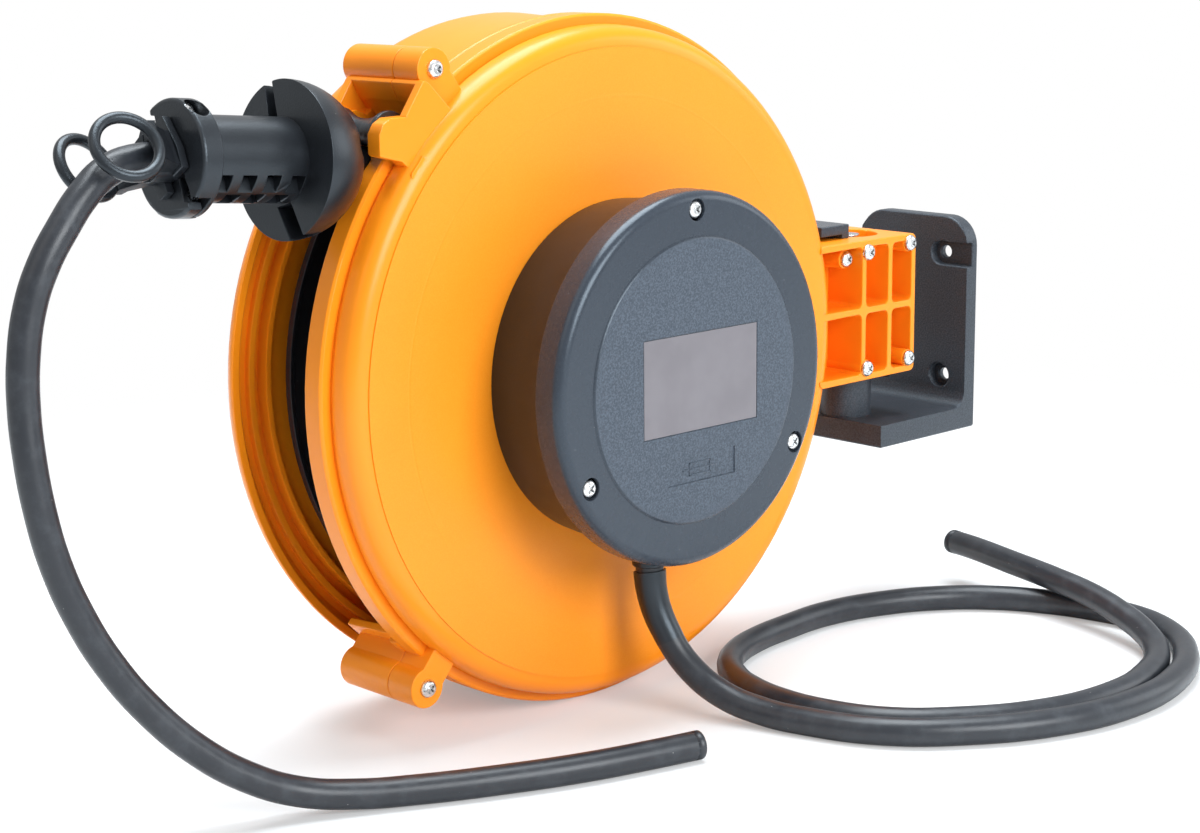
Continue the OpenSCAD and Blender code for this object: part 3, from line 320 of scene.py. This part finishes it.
def new_finish(name):
    return Finish(bpy.data.materials.new(name))


def colour(r, g, b):
    return (r, g, b, 1.0)


# painted reflection colour: reflections of the plastics and the bracket paint are tinted blue to stand in for bluish
# light; the materials themselves reflect untinted
PAINTED_BLUE_REFLECTION = colour(0.78, 0.9, 1.0)


def moulded(name, base, tint, grain, depth, roughness, gloss=0.2):
    """Plain moulded plastic: fine grain, a tint that varies slowly over the piece, and the odd dust speck."""
    f = new_finish(name)
    drift = f.step(f.noise(38, 3, 0.55), 0.35, 0.65)
    plain = f.colour_mix(drift, colour(*base), colour(*tint))
    fine = f.noise(grain, 2.0, 0.6)
    dust = f.specks(13, 0.5)
    return f.surface({
        "Base Color": f.colour_mix(dust * 0.5, plain, colour(0.3, 0.3, 0.29)),
        "Roughness": roughness + 0.08 * (f.noise(9, 4, 0.6) - 0.5),
        "Specular IOR Level": gloss, "Specular Tint": PAINTED_BLUE_REFLECTION,
        "Normal": f.bump(fine, depth)})


def orange_plastic():
    """Casing: fine-grained disc on the front, smoother band and rims, and a faint mould ring."""
    f = new_finish("orange_plastic")
    x, y, z = f.parts(f.from_point(at(0, 0, 0)))
    radius = (x * x + z * z) ** 0.5
    on_front = f.step(y, 3.0 * MM, 1.2 * MM)
    disc = f.step(radius, FACE_DISC_R * MM, (FACE_DISC_R - 0.6) * MM) * on_front
    grain = f.noise(0.6, 2.0, 0.65)
    drift = f.step(f.noise(70, 1, 0.4), 0.3, 0.7)
    base = f.colour_mix(drift, colour(0.94, 0.268, 0.008), colour(0.96, 0.284, 0.01))
    base = f.colour_mix(disc * f.step(grain, 0.35, 0.7) * 0.25, base, colour(1.0, 0.37, 0.03))
    # faint ring where the mould's insert ends, and slow sink marks over the ribs behind
    ring = f.step(radius, 119.2 * MM, 119.8 * MM) * f.step(radius, 120.8 * MM, 120.2 * MM)
    waves = f.noise(30, 1.0, 0.4)
    relief = f.bump(ring * on_front + waves * 0.5, 0.05)
    fine = f.bump(grain * (0.12 + disc * 0.88), 0.055, relief)
    return f.surface({"Base Color": base, "Normal": fine, "Specular IOR Level": 0.33,
                      "Roughness": 0.3 + disc * 0.14 + 0.06 * (f.noise(7, 4, 0.6) - 0.5)})


def cover_plastic():
    """Collector cover: a grained raised disc inside a smoother ring."""
    f = new_finish("grey_black_plastic")
    x, y, z = f.parts(f.from_point(at(0, 0, 0)))
    radius = (x * x + z * z) ** 0.5
    disc = f.step(radius, COVER_DISC_R * MM, (COVER_DISC_R - 0.5) * MM)
    grain = f.noise(0.9, 3.0, 0.7)
    base = f.colour_mix(f.step(grain, 0.36, 0.68), colour(0.036, 0.045, 0.06), colour(0.08, 0.097, 0.125))
    base = f.colour_mix(disc, colour(0.03, 0.037, 0.049), base)
    dust = f.specks(11, 0.5)
    height = grain * 0.7 + f.cells(0.8) * 0.3
    return f.surface({
        "Base Color": f.colour_mix(dust * 0.6, base, colour(0.3, 0.3, 0.31)),
        "Roughness": 0.27 + disc * 0.14 + 0.12 * (f.noise(3, 3, 0.6) - 0.5),
        "Normal": f.bump(height * (0.4 + disc * 0.6), 0.1),
        "Specular IOR Level": 0.45, "Specular Tint": PAINTED_BLUE_REFLECTION})


def cable_rubber():
    """Cable sheath: dark rubber with a soft bloom and dust specks."""
    f = new_finish("cable_rubber")
    bloom = f.step(f.noise(9, 4, 0.65), 0.42, 0.75)
    base = f.colour_mix(bloom, colour(0.02, 0.023, 0.029), colour(0.036, 0.041, 0.049))
    dust = f.specks(8, 0.45)
    fine = f.noise(0.7, 3, 0.6)
    return f.surface({
        "Base Color": f.colour_mix(dust * 0.7, base, colour(0.36, 0.36, 0.34)),
        "Roughness": 0.34 + 0.1 * bloom + 0.05 * (fine - 0.5),
        "Specular IOR Level": 0.45,
        "Normal": f.bump(fine + f.noise(7, 2, 0.5) * 2.0, 0.03)})


def core_insulation(name, base):
    """Insulation of one core, seen only where the cable is cut."""
    f = new_finish(name)
    shade = f.noise(1.5, 2, 0.5)
    return f.surface({"Base Color": f.colour_mix(shade, colour(*base), colour(*[v * 0.75 for v in base])),
                      "Roughness": 0.4 + 0.1 * (shade - 0.5), "Normal": f.bump(shade, 0.02)})


def metal(name, base, dark, roughness, feature=1.2):
    """Turned, rolled or plated metal with light scuffs."""
    f = new_finish(name)
    scuff = f.noise(feature, 4, 0.65)
    return f.surface({"Base Color": f.colour_mix(f.step(scuff, 0.35, 0.75), colour(*dark), colour(*base)),
                      "Metallic": 1.0, "Roughness": roughness + 0.14 * (scuff - 0.5),
                      "Normal": f.bump(scuff, 0.008)})


def dark_paint():
    """Bracket: coarse dark grain."""
    f = new_finish("dark_paint")
    grain = f.noise(0.75, 3, 0.7)
    base = f.colour_mix(f.step(grain, 0.32, 0.7), colour(0.018, 0.021, 0.026), colour(0.052, 0.059, 0.072))
    return f.surface({"Base Color": base, "Roughness": 0.42 + 0.2 * (grain - 0.5), "Specular IOR Level": 0.45,
                      "Specular Tint": PAINTED_BLUE_REFLECTION, "Normal": f.bump(grain * 0.6 + f.cells(1.1) * 0.4, 0.14)})


def label_film():
    """Bare label plate: a glossy smoke-coloured film with a faintly cloudy underside."""
    f = new_finish("label")
    cloud = f.step(f.noise(20, 3, 0.5), 0.3, 0.7)
    return f.surface({"Base Color": f.colour_mix(cloud, colour(0.15, 0.138, 0.152), colour(0.17, 0.157, 0.172)),
                      "Roughness": 0.22 + 0.08 * (f.noise(4, 3, 0.6) - 0.5),
                      "Specular IOR Level": 0.5, "Normal": f.bump(f.noise(5, 2, 0.5), 0.02)})


FINISHES = {
    "orange_plastic": orange_plastic(),
    "grey_black_plastic": cover_plastic(),
    "black_plastic": moulded("black_plastic", (0.006, 0.0066, 0.0082), (0.011, 0.0122, 0.015), 0.7, 0.07, 0.33, 0.55),
    "white_plastic": moulded("white_plastic", (0.68, 0.65, 0.58), (0.74, 0.71, 0.65), 0.8, 0.02, 0.4, 0.5),
    "cable_rubber": cable_rubber(),
    "zinc_steel": metal("zinc_steel", (0.8, 0.8, 0.79), (0.62, 0.63, 0.64), 0.27),
    "plain_steel": metal("plain_steel", (0.56, 0.57, 0.59), (0.42, 0.43, 0.45), 0.33),
    "spring_steel": metal("spring_steel", (0.36, 0.37, 0.4), (0.26, 0.27, 0.3), 0.3),
    "brass": metal("brass", (0.83, 0.6, 0.24), (0.68, 0.47, 0.18), 0.25),
    "carbon": moulded("carbon", (0.03, 0.03, 0.032), (0.05, 0.05, 0.05), 0.5, 0.05, 0.6),
    "label": label_film(),
    "dark_paint": dark_paint(),
}
CORE_FINISHES = [core_insulation("core_blue", (0.05, 0.42, 0.85)), core_insulation("core_brown", (0.12, 0.05, 0.025)),
                 core_insulation("core_green", (0.1, 0.3, 0.04))]

SLOT_OF = {part["node"]: part["material_slot"] for part in frame["record"]["subparts"]}


def finish_with(obj, material):
    obj.data.materials.clear()
    obj.data.materials.append(material)
    return obj


for name, node in frame["nodes"].items():
    finish_with(node, FINISHES[SLOT_OF[name]])
    node.data.polygons.foreach_set("material_index", [0] * len(node.data.polygons))


# ---------- making pieces ----------

MERGE_WITHIN = 0.004
SHARP_EDGE = math.radians(33)
FOLDED_EDGE = math.radians(150)


def body_of(name):
    return frame["nodes"][name]["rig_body"]


def settle(obj, body, slot, stands_for, material=None):
    """Every new piece ends here: linked, finished, on its body and in place of these nodes."""
    bpy.context.scene.collection.objects.link(obj)
    finish_with(obj, material or FINISHES[slot])
    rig.ride(obj, body)
    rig.slot(obj, slot)
    if stands_for:
        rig.replaces(obj, *stands_for)
    return obj


def piece_from(mesh, name, body, slot, stands_for=(), material=None):
    """A finished piece from a bmesh."""
    for face in mesh.faces:
        face.smooth = True
        face.material_index = 0
    data = bpy.data.meshes.new(name)
    mesh.to_mesh(data)
    mesh.free()
    return settle(bpy.data.objects.new(name, data), body, slot, stands_for, material)


def reach_across(face, edge):
    """How far a face reaches away from one of its edges."""
    start, end = (v.co for v in edge.verts)
    along = (end - start).normalized()
    return max(((v.co - start) - along * along.dot(v.co - start)).length for v in face.verts)


def folds_in(mesh):
    """The corners where a face is folded onto itself or onto its neighbour."""
    corners = []
    for loops in mesh.calc_loop_triangles():
        a, b, c = (loop.vert.co for loop in loops)
        across = (b - a).cross(c - a)
        if across.length > 0.02 * MM * MM and across.dot(loops[0].face.normal) < 0:
            corners += [a.copy(), b.copy(), c.copy()]
    for edge in mesh.edges:
        if edge.is_manifold and edge.calc_face_angle() > FOLDED_EDGE \
                and min(f.calc_area() for f in edge.link_faces) > 0.01 * MM * MM:
            corners += [v.co.copy() for v in edge.verts]
    return corners


def passes_near(edge, points, distance):
    start, end = (v.co for v in edge.verts)
    along = end - start
    for point in points:
        share = min(1, max(0, (point - start).dot(along) / along.length_squared))
        if (point - start - along * share).length < distance:
            return True
    return False


def round_edges(mesh, width, tries=6):
    """A mesh with its outward edges rounded, but for those short of room; width in millimetres."""
    before = folds_in(mesh)
    mesh.edges.index_update()
    chosen = [e.index for e in mesh.edges
              if e.is_manifold and e.is_convex and e.calc_face_angle() > SHARP_EDGE
              and min(reach_across(f, e) for f in e.link_faces) > 2.2 * width * MM]
    for attempt in range(tries):
        rounded = mesh.copy()
        rounded.edges.ensure_lookup_table()
        bmesh.ops.bevel(rounded, geom=[rounded.edges[i] for i in chosen], offset=width * MM, offset_type="OFFSET",
                        affect="EDGES", segments=2, profile=0.5, material=-1, clamp_overlap=False)
        folds = [p for p in folds_in(rounded) if not any((p - q).length < 0.5 * MM for q in before)]
        if not folds or attempt == tries - 1:
            mesh.free()
            return rounded
        rounded.free()
        mesh.edges.ensure_lookup_table()
        chosen = [i for i in chosen if not passes_near(mesh.edges[i], folds, 2.5 * width * MM)]


def eased(name, *widths):
    """A node's own shape with its sharp edges rounded, widest first, where there is room for each."""
    mesh = bmesh.new()
    mesh.from_mesh(frame["nodes"][name].data)
    bmesh.ops.remove_doubles(mesh, verts=mesh.verts, dist=MERGE_WITHIN * MM)
    bmesh.ops.dissolve_limit(mesh, angle_limit=math.radians(0.1), verts=mesh.verts, edges=mesh.edges,
                             use_dissolve_boundaries=False)
    for width in widths:
        mesh = round_edges(mesh, width)
    for edge in mesh.edges:
        if edge.is_manifold and edge.calc_face_angle() > SHARP_EDGE:
            edge.smooth = False
    piece = piece_from(mesh, name + "_eased", body_of(name), SLOT_OF[name], [name])
    weights = piece.modifiers.new("flat_faces_stay_flat", "WEIGHTED_NORMAL")
    weights.keep_sharp = True
    return piece


def islands(mesh):
    """The separate solids of a mesh, each as its lowest and highest corner."""
    reached = set()
    for first in mesh.verts:
        if first in reached:
            continue
        reached.add(first)
        to_visit = [first]
        found = []
        while to_visit:
            vert = to_visit.pop()
            found.append(vert.co)
            for edge in vert.link_edges:
                other = edge.other_vert(vert)
                if other not in reached:
                    reached.add(other)
                    to_visit.append(other)
        yield (Vector(min(co[i] for co in found) for i in range(3)),
               Vector(max(co[i] for co in found) for i in range(3)))


DISC_T = 1.0


def recess_floors(name, depth=0.8):
    """The bottoms of the cross recesses in screws whose heads face the front."""
    screws = bmesh.new()
    screws.from_mesh(frame["nodes"][name].data)
    bmesh.ops.remove_doubles(screws, verts=screws.verts, dist=MERGE_WITHIN * MM)
    mesh = bmesh.new()
    facing_front = Matrix.Rotation(math.pi / 2, 4, "X")
    for low, high in islands(screws):
        head_d = high.x - low.x
        middle = Vector(((low.x + high.x) / 2, low.y + (depth + DISC_T / 2) * MM, (low.z + high.z) / 2))
        bmesh.ops.create_cone(mesh, cap_ends=True, segments=24, radius1=0.25 * head_d, radius2=0.25 * head_d,
                              depth=DISC_T * MM, matrix=Matrix.Translation(middle) @ facing_front)
    screws.free()
    return piece_from(mesh, name + "_recess_floors", "casing", "zinc_steel")


def rope(name, runs, radius, body, slot, stands_for=(), ends=True, radii=None):
    """Smooth round cords or wires through points in the frame, closed at their ends."""
    curve = bpy.data.curves.new(name, "CURVE")
    curve.dimensions = "3D"
    curve.resolution_u = 6
    curve.bevel_depth = radius * MM
    curve.bevel_resolution = 6
    curve.use_fill_caps = ends
    for points in runs:
        spline = curve.splines.new("BEZIER")
        spline.bezier_points.add(len(points) - 1)
        for i, point in enumerate(points):
            handle = spline.bezier_points[i]
            handle.co = point
            handle.handle_left_type = handle.handle_right_type = "AUTO"
            if radii:
                handle.radius = radii[i] / radius
    return settle(bpy.data.objects.new(name, curve), body, slot, stands_for)


def length_of(points):
    return sum((b - a).length for a, b in zip(points, points[1:]))


def cut_end(name, point, direction, body, reach, tilt=0.0):
    """The last few millimetres of a cable cut square: its sheath's rim and the three cores in it."""
    stand = Matrix.Translation(point) @ direction.to_track_quat("Z", "Y").to_matrix().to_4x4() \
        @ Matrix.Rotation(tilt, 4, "Z")
    mesh = bmesh.new()
    bmesh.ops.create_cone(mesh, cap_ends=True, segments=32, radius1=CABLE_R * MM, radius2=CABLE_R * MM,
                          depth=4 * MM)
    front = max(mesh.faces, key=lambda f: f.calc_center_median().z)
    rim = list(front.edges)
    bmesh.ops.inset_individual(mesh, faces=[front], thickness=1.9 * MM, depth=-0.5 * MM)
    bmesh.ops.bevel(mesh, geom=rim, offset=0.5 * MM, offset_type="OFFSET", affect="EDGES", segments=2,
                    profile=0.5, material=-1)
    bmesh.ops.transform(mesh, matrix=stand @ Matrix.Translation((0, 0, -2 * MM)), verts=mesh.verts)
    pieces = [piece_from(mesh, name + "_sheath_end", body, "cable_rubber")]
    for i, material in enumerate(CORE_FINISHES):
        core = bmesh.new()
        bmesh.ops.create_cone(core, cap_ends=True, segments=20, radius1=1.95 * MM, radius2=1.95 * MM,
                              depth=2 * MM)
        end = max(core.faces, key=lambda f: f.calc_center_median().z)
        bmesh.ops.inset_individual(core, faces=[end], thickness=0.75 * MM, depth=0.15 * MM)
        turned = Matrix.Rotation(math.radians(120 * i), 4, "Z") \
            @ Matrix.Translation((2.3 * MM, 0, (-1 + reach[i]) * MM))
        bmesh.ops.transform(core, matrix=stand @ turned, verts=core.verts)
        pieces.append(piece_from(core, name + "_" + material.name, body, "cable_rubber", material=material))
    return pieces


# ---------- camera ----------

CAMERA_AT = at(-741.8, -751.4, 196.4)
CAMERA_AZIMUTH = math.radians(-44.217)
CAMERA_ELEVATION = math.radians(11.719)
CAMERA_ROLL = math.radians(-0.497)

camera = bpy.data.objects.new("camera", bpy.data.cameras.new("camera"))
bpy.context.scene.collection.objects.link(camera)
bpy.context.scene.camera = camera
camera.data.lens = 72.374
camera.data.sensor_width = 36
camera.data.clip_start = 0.05
camera.data.clip_end = 50
back = Vector((math.sin(CAMERA_AZIMUTH) * math.cos(CAMERA_ELEVATION),
               -math.cos(CAMERA_AZIMUTH) * math.cos(CAMERA_ELEVATION),
               math.sin(CAMERA_ELEVATION)))
right = Vector((math.cos(CAMERA_AZIMUTH), math.sin(CAMERA_AZIMUTH), 0))
up = back.cross(right)
rolled_right = math.cos(CAMERA_ROLL) * right + math.sin(CAMERA_ROLL) * up
rolled_up = math.cos(CAMERA_ROLL) * up - math.sin(CAMERA_ROLL) * right
turn = Matrix((rolled_right, rolled_up, back)).transposed()
camera.matrix_world = Matrix.Translation(CAMERA_AT) @ turn.to_4x4()

# ---------- cable stop ----------

stop_pieces = [
    eased("stopper_front_half", 0.6, 0.2), eased("stopper_rear_half", 0.6, 0.2),
    eased("pull_ring_front", 0.5, 0.2), eased("pull_ring_rear", 0.5, 0.2),
    eased("stopper_screws", 0.2)]

# ---------- cords ----------

# from the gland to the cut end, as the solids' route has it
FEED_ROUTE = [
    (0, -20, -80), (0, -20, -90), (0, -21, -98), (1, -24, -109), (3, -30, -121), (6, -40, -133),
    (11, -54, TABLE_Z + 6), (17, -73, TABLE_Z + 1), (22, -92, TABLE_Z), (36, -126, TABLE_Z),
    (61, -151, TABLE_Z), (98, -172, TABLE_Z), (140, -181, TABLE_Z), (184, -176, TABLE_Z),
    (222, -158, TABLE_Z), (246, -134, TABLE_Z), (257, -108, TABLE_Z), (256, -82, TABLE_Z),
    (249, -57, TABLE_Z), (237, -35, TABLE_Z), (217, -15, TABLE_Z), (189, 0, TABLE_Z), (156, 8, TABLE_Z),
    (123, 7, TABLE_Z), (99, 4, TABLE_Z), (79, -2, TABLE_Z), (62, -12, TABLE_Z), (48, -28, TABLE_Z),
    (39, -47, TABLE_Z), (35, -68, TABLE_Z), (37, -92, TABLE_Z), (48, -119, TABLE_Z), (69, -140, TABLE_Z),
    (103, -160, TABLE_Z), (141, -168, TABLE_Z), (180, -163, TABLE_Z), (214, -147, TABLE_Z + 1),
    (226, -133, TABLE_Z + 4), (235, -114, TABLE_Z + 7.5), (242, -92, TABLE_Z + 11),
    (248, -64, TABLE_Z + 13.5), (256, -32, TABLE_Z + 14.5), (265, 1, TABLE_Z + 15), (268, 16, TABLE_Z + 15)]
# from the cable stop to the cut end
OUTPUT_ROUTE = [
    (-242, 27, 104), (-254, 25, 96), (-264, 24, 85), (-273, 24, 72), (-279, 25, 57), (-283, 25, 38),
    (-284, 25, 20), (-284, 23, 1), (-282, 21, -20), (-278, 19, -40), (-271, 16, -61), (-261, 12, -82),
    (-248, 6, -102), (-232, -1, -120), (-214, -8, -134), (-194, -15, TABLE_Z + 5),
    (-173, -25, TABLE_Z + 1), (-150, -37, TABLE_Z), (-120, -52, TABLE_Z), (-86, -66, TABLE_Z),
    (-52, -76, TABLE_Z), (-32, -81, TABLE_Z)]


def with_cut_end(name, points, reach, tilt):
    """Shortens a cord by its cut end and gives its points and the pieces of that end."""
    last = (points[-1] - points[-2]).normalized()
    pieces = cut_end(name, points[-1], last, "casing", reach, tilt)
    return points[:-1] + [points[-1] - last * 3.5 * MM], pieces


feed_points, feed_end = with_cut_end("feed_cable", [at(*p) for p in FEED_ROUTE], (-0.3, -0.4, -0.3), 0.4)
feed = rope("feed_cable_sheath", [feed_points], CABLE_R, "casing", "cable_rubber", ["feed_cable"])
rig.cord(feed, exit=at(0, -20, -87.5), length=length_of(feed_points), diameter=CABLE_D * MM, far_end="bare",
        stiffness="stiff", lay="loose", with_pieces=feed_end)
rope("feed_strain_relief", [feed_points[1:5]], 7.4, "casing", "black_plastic", radii=(7.4, 7.1, 6.8, 6.45))

lead_points = [at(*on_lead(t)) for t in (0, 40, 80, 120, 160, 200, STOP_END_T)]
output_route = lead_points[4:] + [at(*on_lead(STOP_END_T + STUB_L))] + [at(*p) for p in OUTPUT_ROUTE]
output_points, output_end = with_cut_end("output_cable", output_route, (0.7, -0.3, -0.2), 2.1)
rope("cable_inside_mouth", [lead_points[:5]], CABLE_R, "casing", "cable_rubber", ["cable_lead"])
output = rope("output_cable_sheath", [output_points], CABLE_R, "casing", "cable_rubber", ["output_cable"])
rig.cord(output, exit=lead_points[4], length=length_of(output_points), diameter=CABLE_D * MM, far_end="bare",
        stiffness="stiff", lay="hanging", with_pieces=stop_pieces + output_end)

# ---------- cable on the drum ----------

pitch = (DRUM_REAR_Y - DRUM_FRONT_Y - CABLE_D - 0.6) / WIND_TURNS
turns = []
for i in range(int(24 * WIND_TURNS) + 1):
    a = math.radians(90 + 15 * i)
    turns.append(at(WIND_R * math.cos(a), DRUM_REAR_Y - 0.3 - CABLE_R - pitch * i / 24, WIND_R * math.sin(a)))
rope("outer_turns", [turns], CABLE_R, "drum", "cable_rubber", ["cable_winding"])

# the layer under it: four turns side by side, pressed together
core = bmesh.new()
inner_half = (DRUM_REAR_Y - DRUM_FRONT_Y - 0.6) / 8
outline = [(BARREL_R + 0.3, DRUM_FRONT_Y + 0.3)]
for turn_number in range(4):
    middle = DRUM_FRONT_Y + 0.3 + inner_half * (2 * turn_number + 1)
    for step_number in range(-4, 5):
        a = math.radians(18 * step_number)
        outline.append((CORE_R - inner_half + inner_half * math.cos(a), middle + inner_half * math.sin(a)))
outline.append((BARREL_R + 0.3, DRUM_REAR_Y - 0.3))
rings = []
for ring_number in range(72):
    a = math.radians(5 * ring_number)
    rings.append([core.verts.new(at(r * math.cos(a), y, r * math.sin(a))) for r, y in outline])
for ring, following in zip(rings, rings[1:] + rings[:1]):
    for i in range(len(outline)):
        core.faces.new((ring[i - 1], ring[i], following[i], following[i - 1]))
bmesh.ops.recalc_face_normals(core, faces=core.faces)
piece_from(core, "inner_turns", "drum", "cable_rubber", ["cable_core"])

# ---------- wire springs ----------

brush_wires = [[at(40.6 + 9 * i / 32, y + 2.5 + 1.5 * math.cos(math.radians(45 * i)),
                   1.5 * math.sin(math.radians(45 * i))) for i in range(33)] for y in (-30, -21, -12)]
rope("brush_wires", brush_wires, 0.3, "casing", "spring_steel", ["brush_springs"])
pawl_wire = [at(59.4 + 7 * math.cos(math.radians(36 * i)), 76.2 + 0.14 * i,
                59.4 + 7 * math.sin(math.radians(36 * i))) for i in range(31)]
rope("pawl_wire", [pawl_wire], 0.5, "casing", "spring_steel", ["pawl_spring"])

# ---------- rigid pieces with rounded edges ----------

for node_name, widths in {
        "front_shell": (0.8, 0.3), "rear_shell": (0.8, 0.3), "collector_housing": (0.5,),
        "collector_cover": (0.5, 0.25), "wall_bracket": (1.2, 0.4), "pivot_key": (0.6, 0.3),
        "feed_gland": (0.3,), "upper_roller": (0.5,), "lower_roller": (0.5,), "drum_front_flange": (0.5, 0.25),
        "drum_rear_flange": (0.5, 0.25), "shell_screws": (0.2,), "arm_screws": (0.2,), "cover_screws": (0.2,),
        "axle_screw": (0.2,), "pivot_pin": (0.4,)}.items():
    eased(node_name, *widths)
for node_name in ("shell_screws", "arm_screws", "cover_screws"):
    recess_floors(node_name)

# fuse symbol raised in the small recess: a box with a line through it
mark = bmesh.new()
MARK_Y = COVER_FACE_Y + 0.4
for low, high in (((-9.6, -38.6), (11.9, -37.9)), ((-5.6, -41.2), (7.9, -40.5)), ((-5.6, -36.0), (7.9, -35.3)),
                  ((-5.6, -41.2), (-4.9, -35.3)), ((7.2, -41.2), (7.9, -35.3))):
    middle = at((low[0] + high[0]) / 2, MARK_Y, (low[1] + high[1]) / 2)
    size = Matrix.Diagonal(((high[0] - low[0]) * MM, 0.4 * MM, (high[1] - low[1]) * MM, 1))
    bar = bmesh.ops.create_cube(mark, size=1, matrix=Matrix.Translation(middle) @ size)["verts"]
    bar_edges = list(dict.fromkeys(e for v in bar for e in v.link_edges))
    bmesh.ops.bevel(mark, geom=bar_edges, offset=0.12 * MM, offset_type="OFFSET", affect="EDGES", segments=2,
                    profile=0.5, material=-1)
piece_from(mark, "fuse_symbol", "casing", "grey_black_plastic")

# ---------- stage ----------

bpy.context.scene.view_settings.view_transform = "Standard"


def pale_floor():
    """White to the eye far off; round the object a pale matt floor that holds its shadow."""
    f = new_finish("pale_floor")
    x, y, z = f.parts(f.place)
    distance = ((x - 0.02) * (x - 0.02) + (y + 0.04) * (y + 0.04)) ** 0.5
    seen = f.node("ShaderNodeLightPath", out="Is Camera Ray")
    matt = f.node("ShaderNodeBsdfDiffuse", {}, {"Color": colour(0.88, 0.88, 0.88)})
    white = f.node("ShaderNodeEmission", {}, {"Color": colour(1, 1, 1), "Strength": 1.0})
    return f.ends_in(f.blend(seen * (0.3 + 0.7 * f.step(distance, 0.35, 0.8)), matt, white))


floor_mesh = bmesh.new()
bmesh.ops.create_grid(floor_mesh, x_segments=1, y_segments=1, size=6)
floor_data = bpy.data.meshes.new("floor")
floor_mesh.to_mesh(floor_data)
floor_mesh.free()
floor = bpy.data.objects.new("floor", floor_data)
bpy.context.scene.collection.objects.link(floor)
floor.data.materials.append(pale_floor())
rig.stage(floor)

studio = bpy.data.worlds.new("studio")
bpy.context.scene.world = studio
air = Finish(studio)
white_to = [air.node("ShaderNodeLightPath", out="Is " + kind + " Ray")
            for kind in ("Camera", "Glossy", "Transmission")]
ambient = air.node("ShaderNodeBackground", {}, {"Color": colour(0.97, 0.985, 1), "Strength": 0.24})
backdrop = air.node("ShaderNodeBackground", {}, {"Color": colour(1, 1, 1), "Strength": 1.0})
air.ends_in(air.blend(white_to[0] + 0.6 * white_to[1] + white_to[2], ambient, backdrop), "ShaderNodeOutputWorld")


def soft_light(name, place, target, size, power, tint):
    lamp = bpy.data.lights.new(name, "AREA")
    lamp.color = tint
    lamp.shape = "RECTANGLE"
    lamp.size, lamp.size_y = size
    lamp.energy = power
    obj = bpy.data.objects.new(name, lamp)
    bpy.context.scene.collection.objects.link(obj)
    obj.location = place
    obj.rotation_mode = "QUATERNION"
    obj.rotation_quaternion = (Vector(target) - Vector(place)).to_track_quat("-Z", "Y")
    obj.visible_camera = False
    return obj


soft_light("key", (-1.5, 0.1, 1.3), (0, 0, 0.15), (1.0, 1.2), 3, (1, 0.9, 0.8))
soft_light("front", (-0.15, -1.95, 1.0), (0, 0, 0.15), (1.2, 1.0), 40, (0.93, 0.97, 1))
soft_light("right", (1.6, -1.0, 0.8), (0, 0, 0.15), (1.0, 1.0), 8, (0.93, 0.97, 1))
soft_light("top", (0.1, 0.2, 1.9), (0, 0, 0.1), (1.4, 1.4), 60, (0.88, 0.95, 1))

visual_low, visual_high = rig.bounds()
with open("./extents.json", "w") as out:
    json.dump({"cad": [list(cad_low), list(cad_high)], "visual": [list(visual_low), list(visual_high)]}, out)
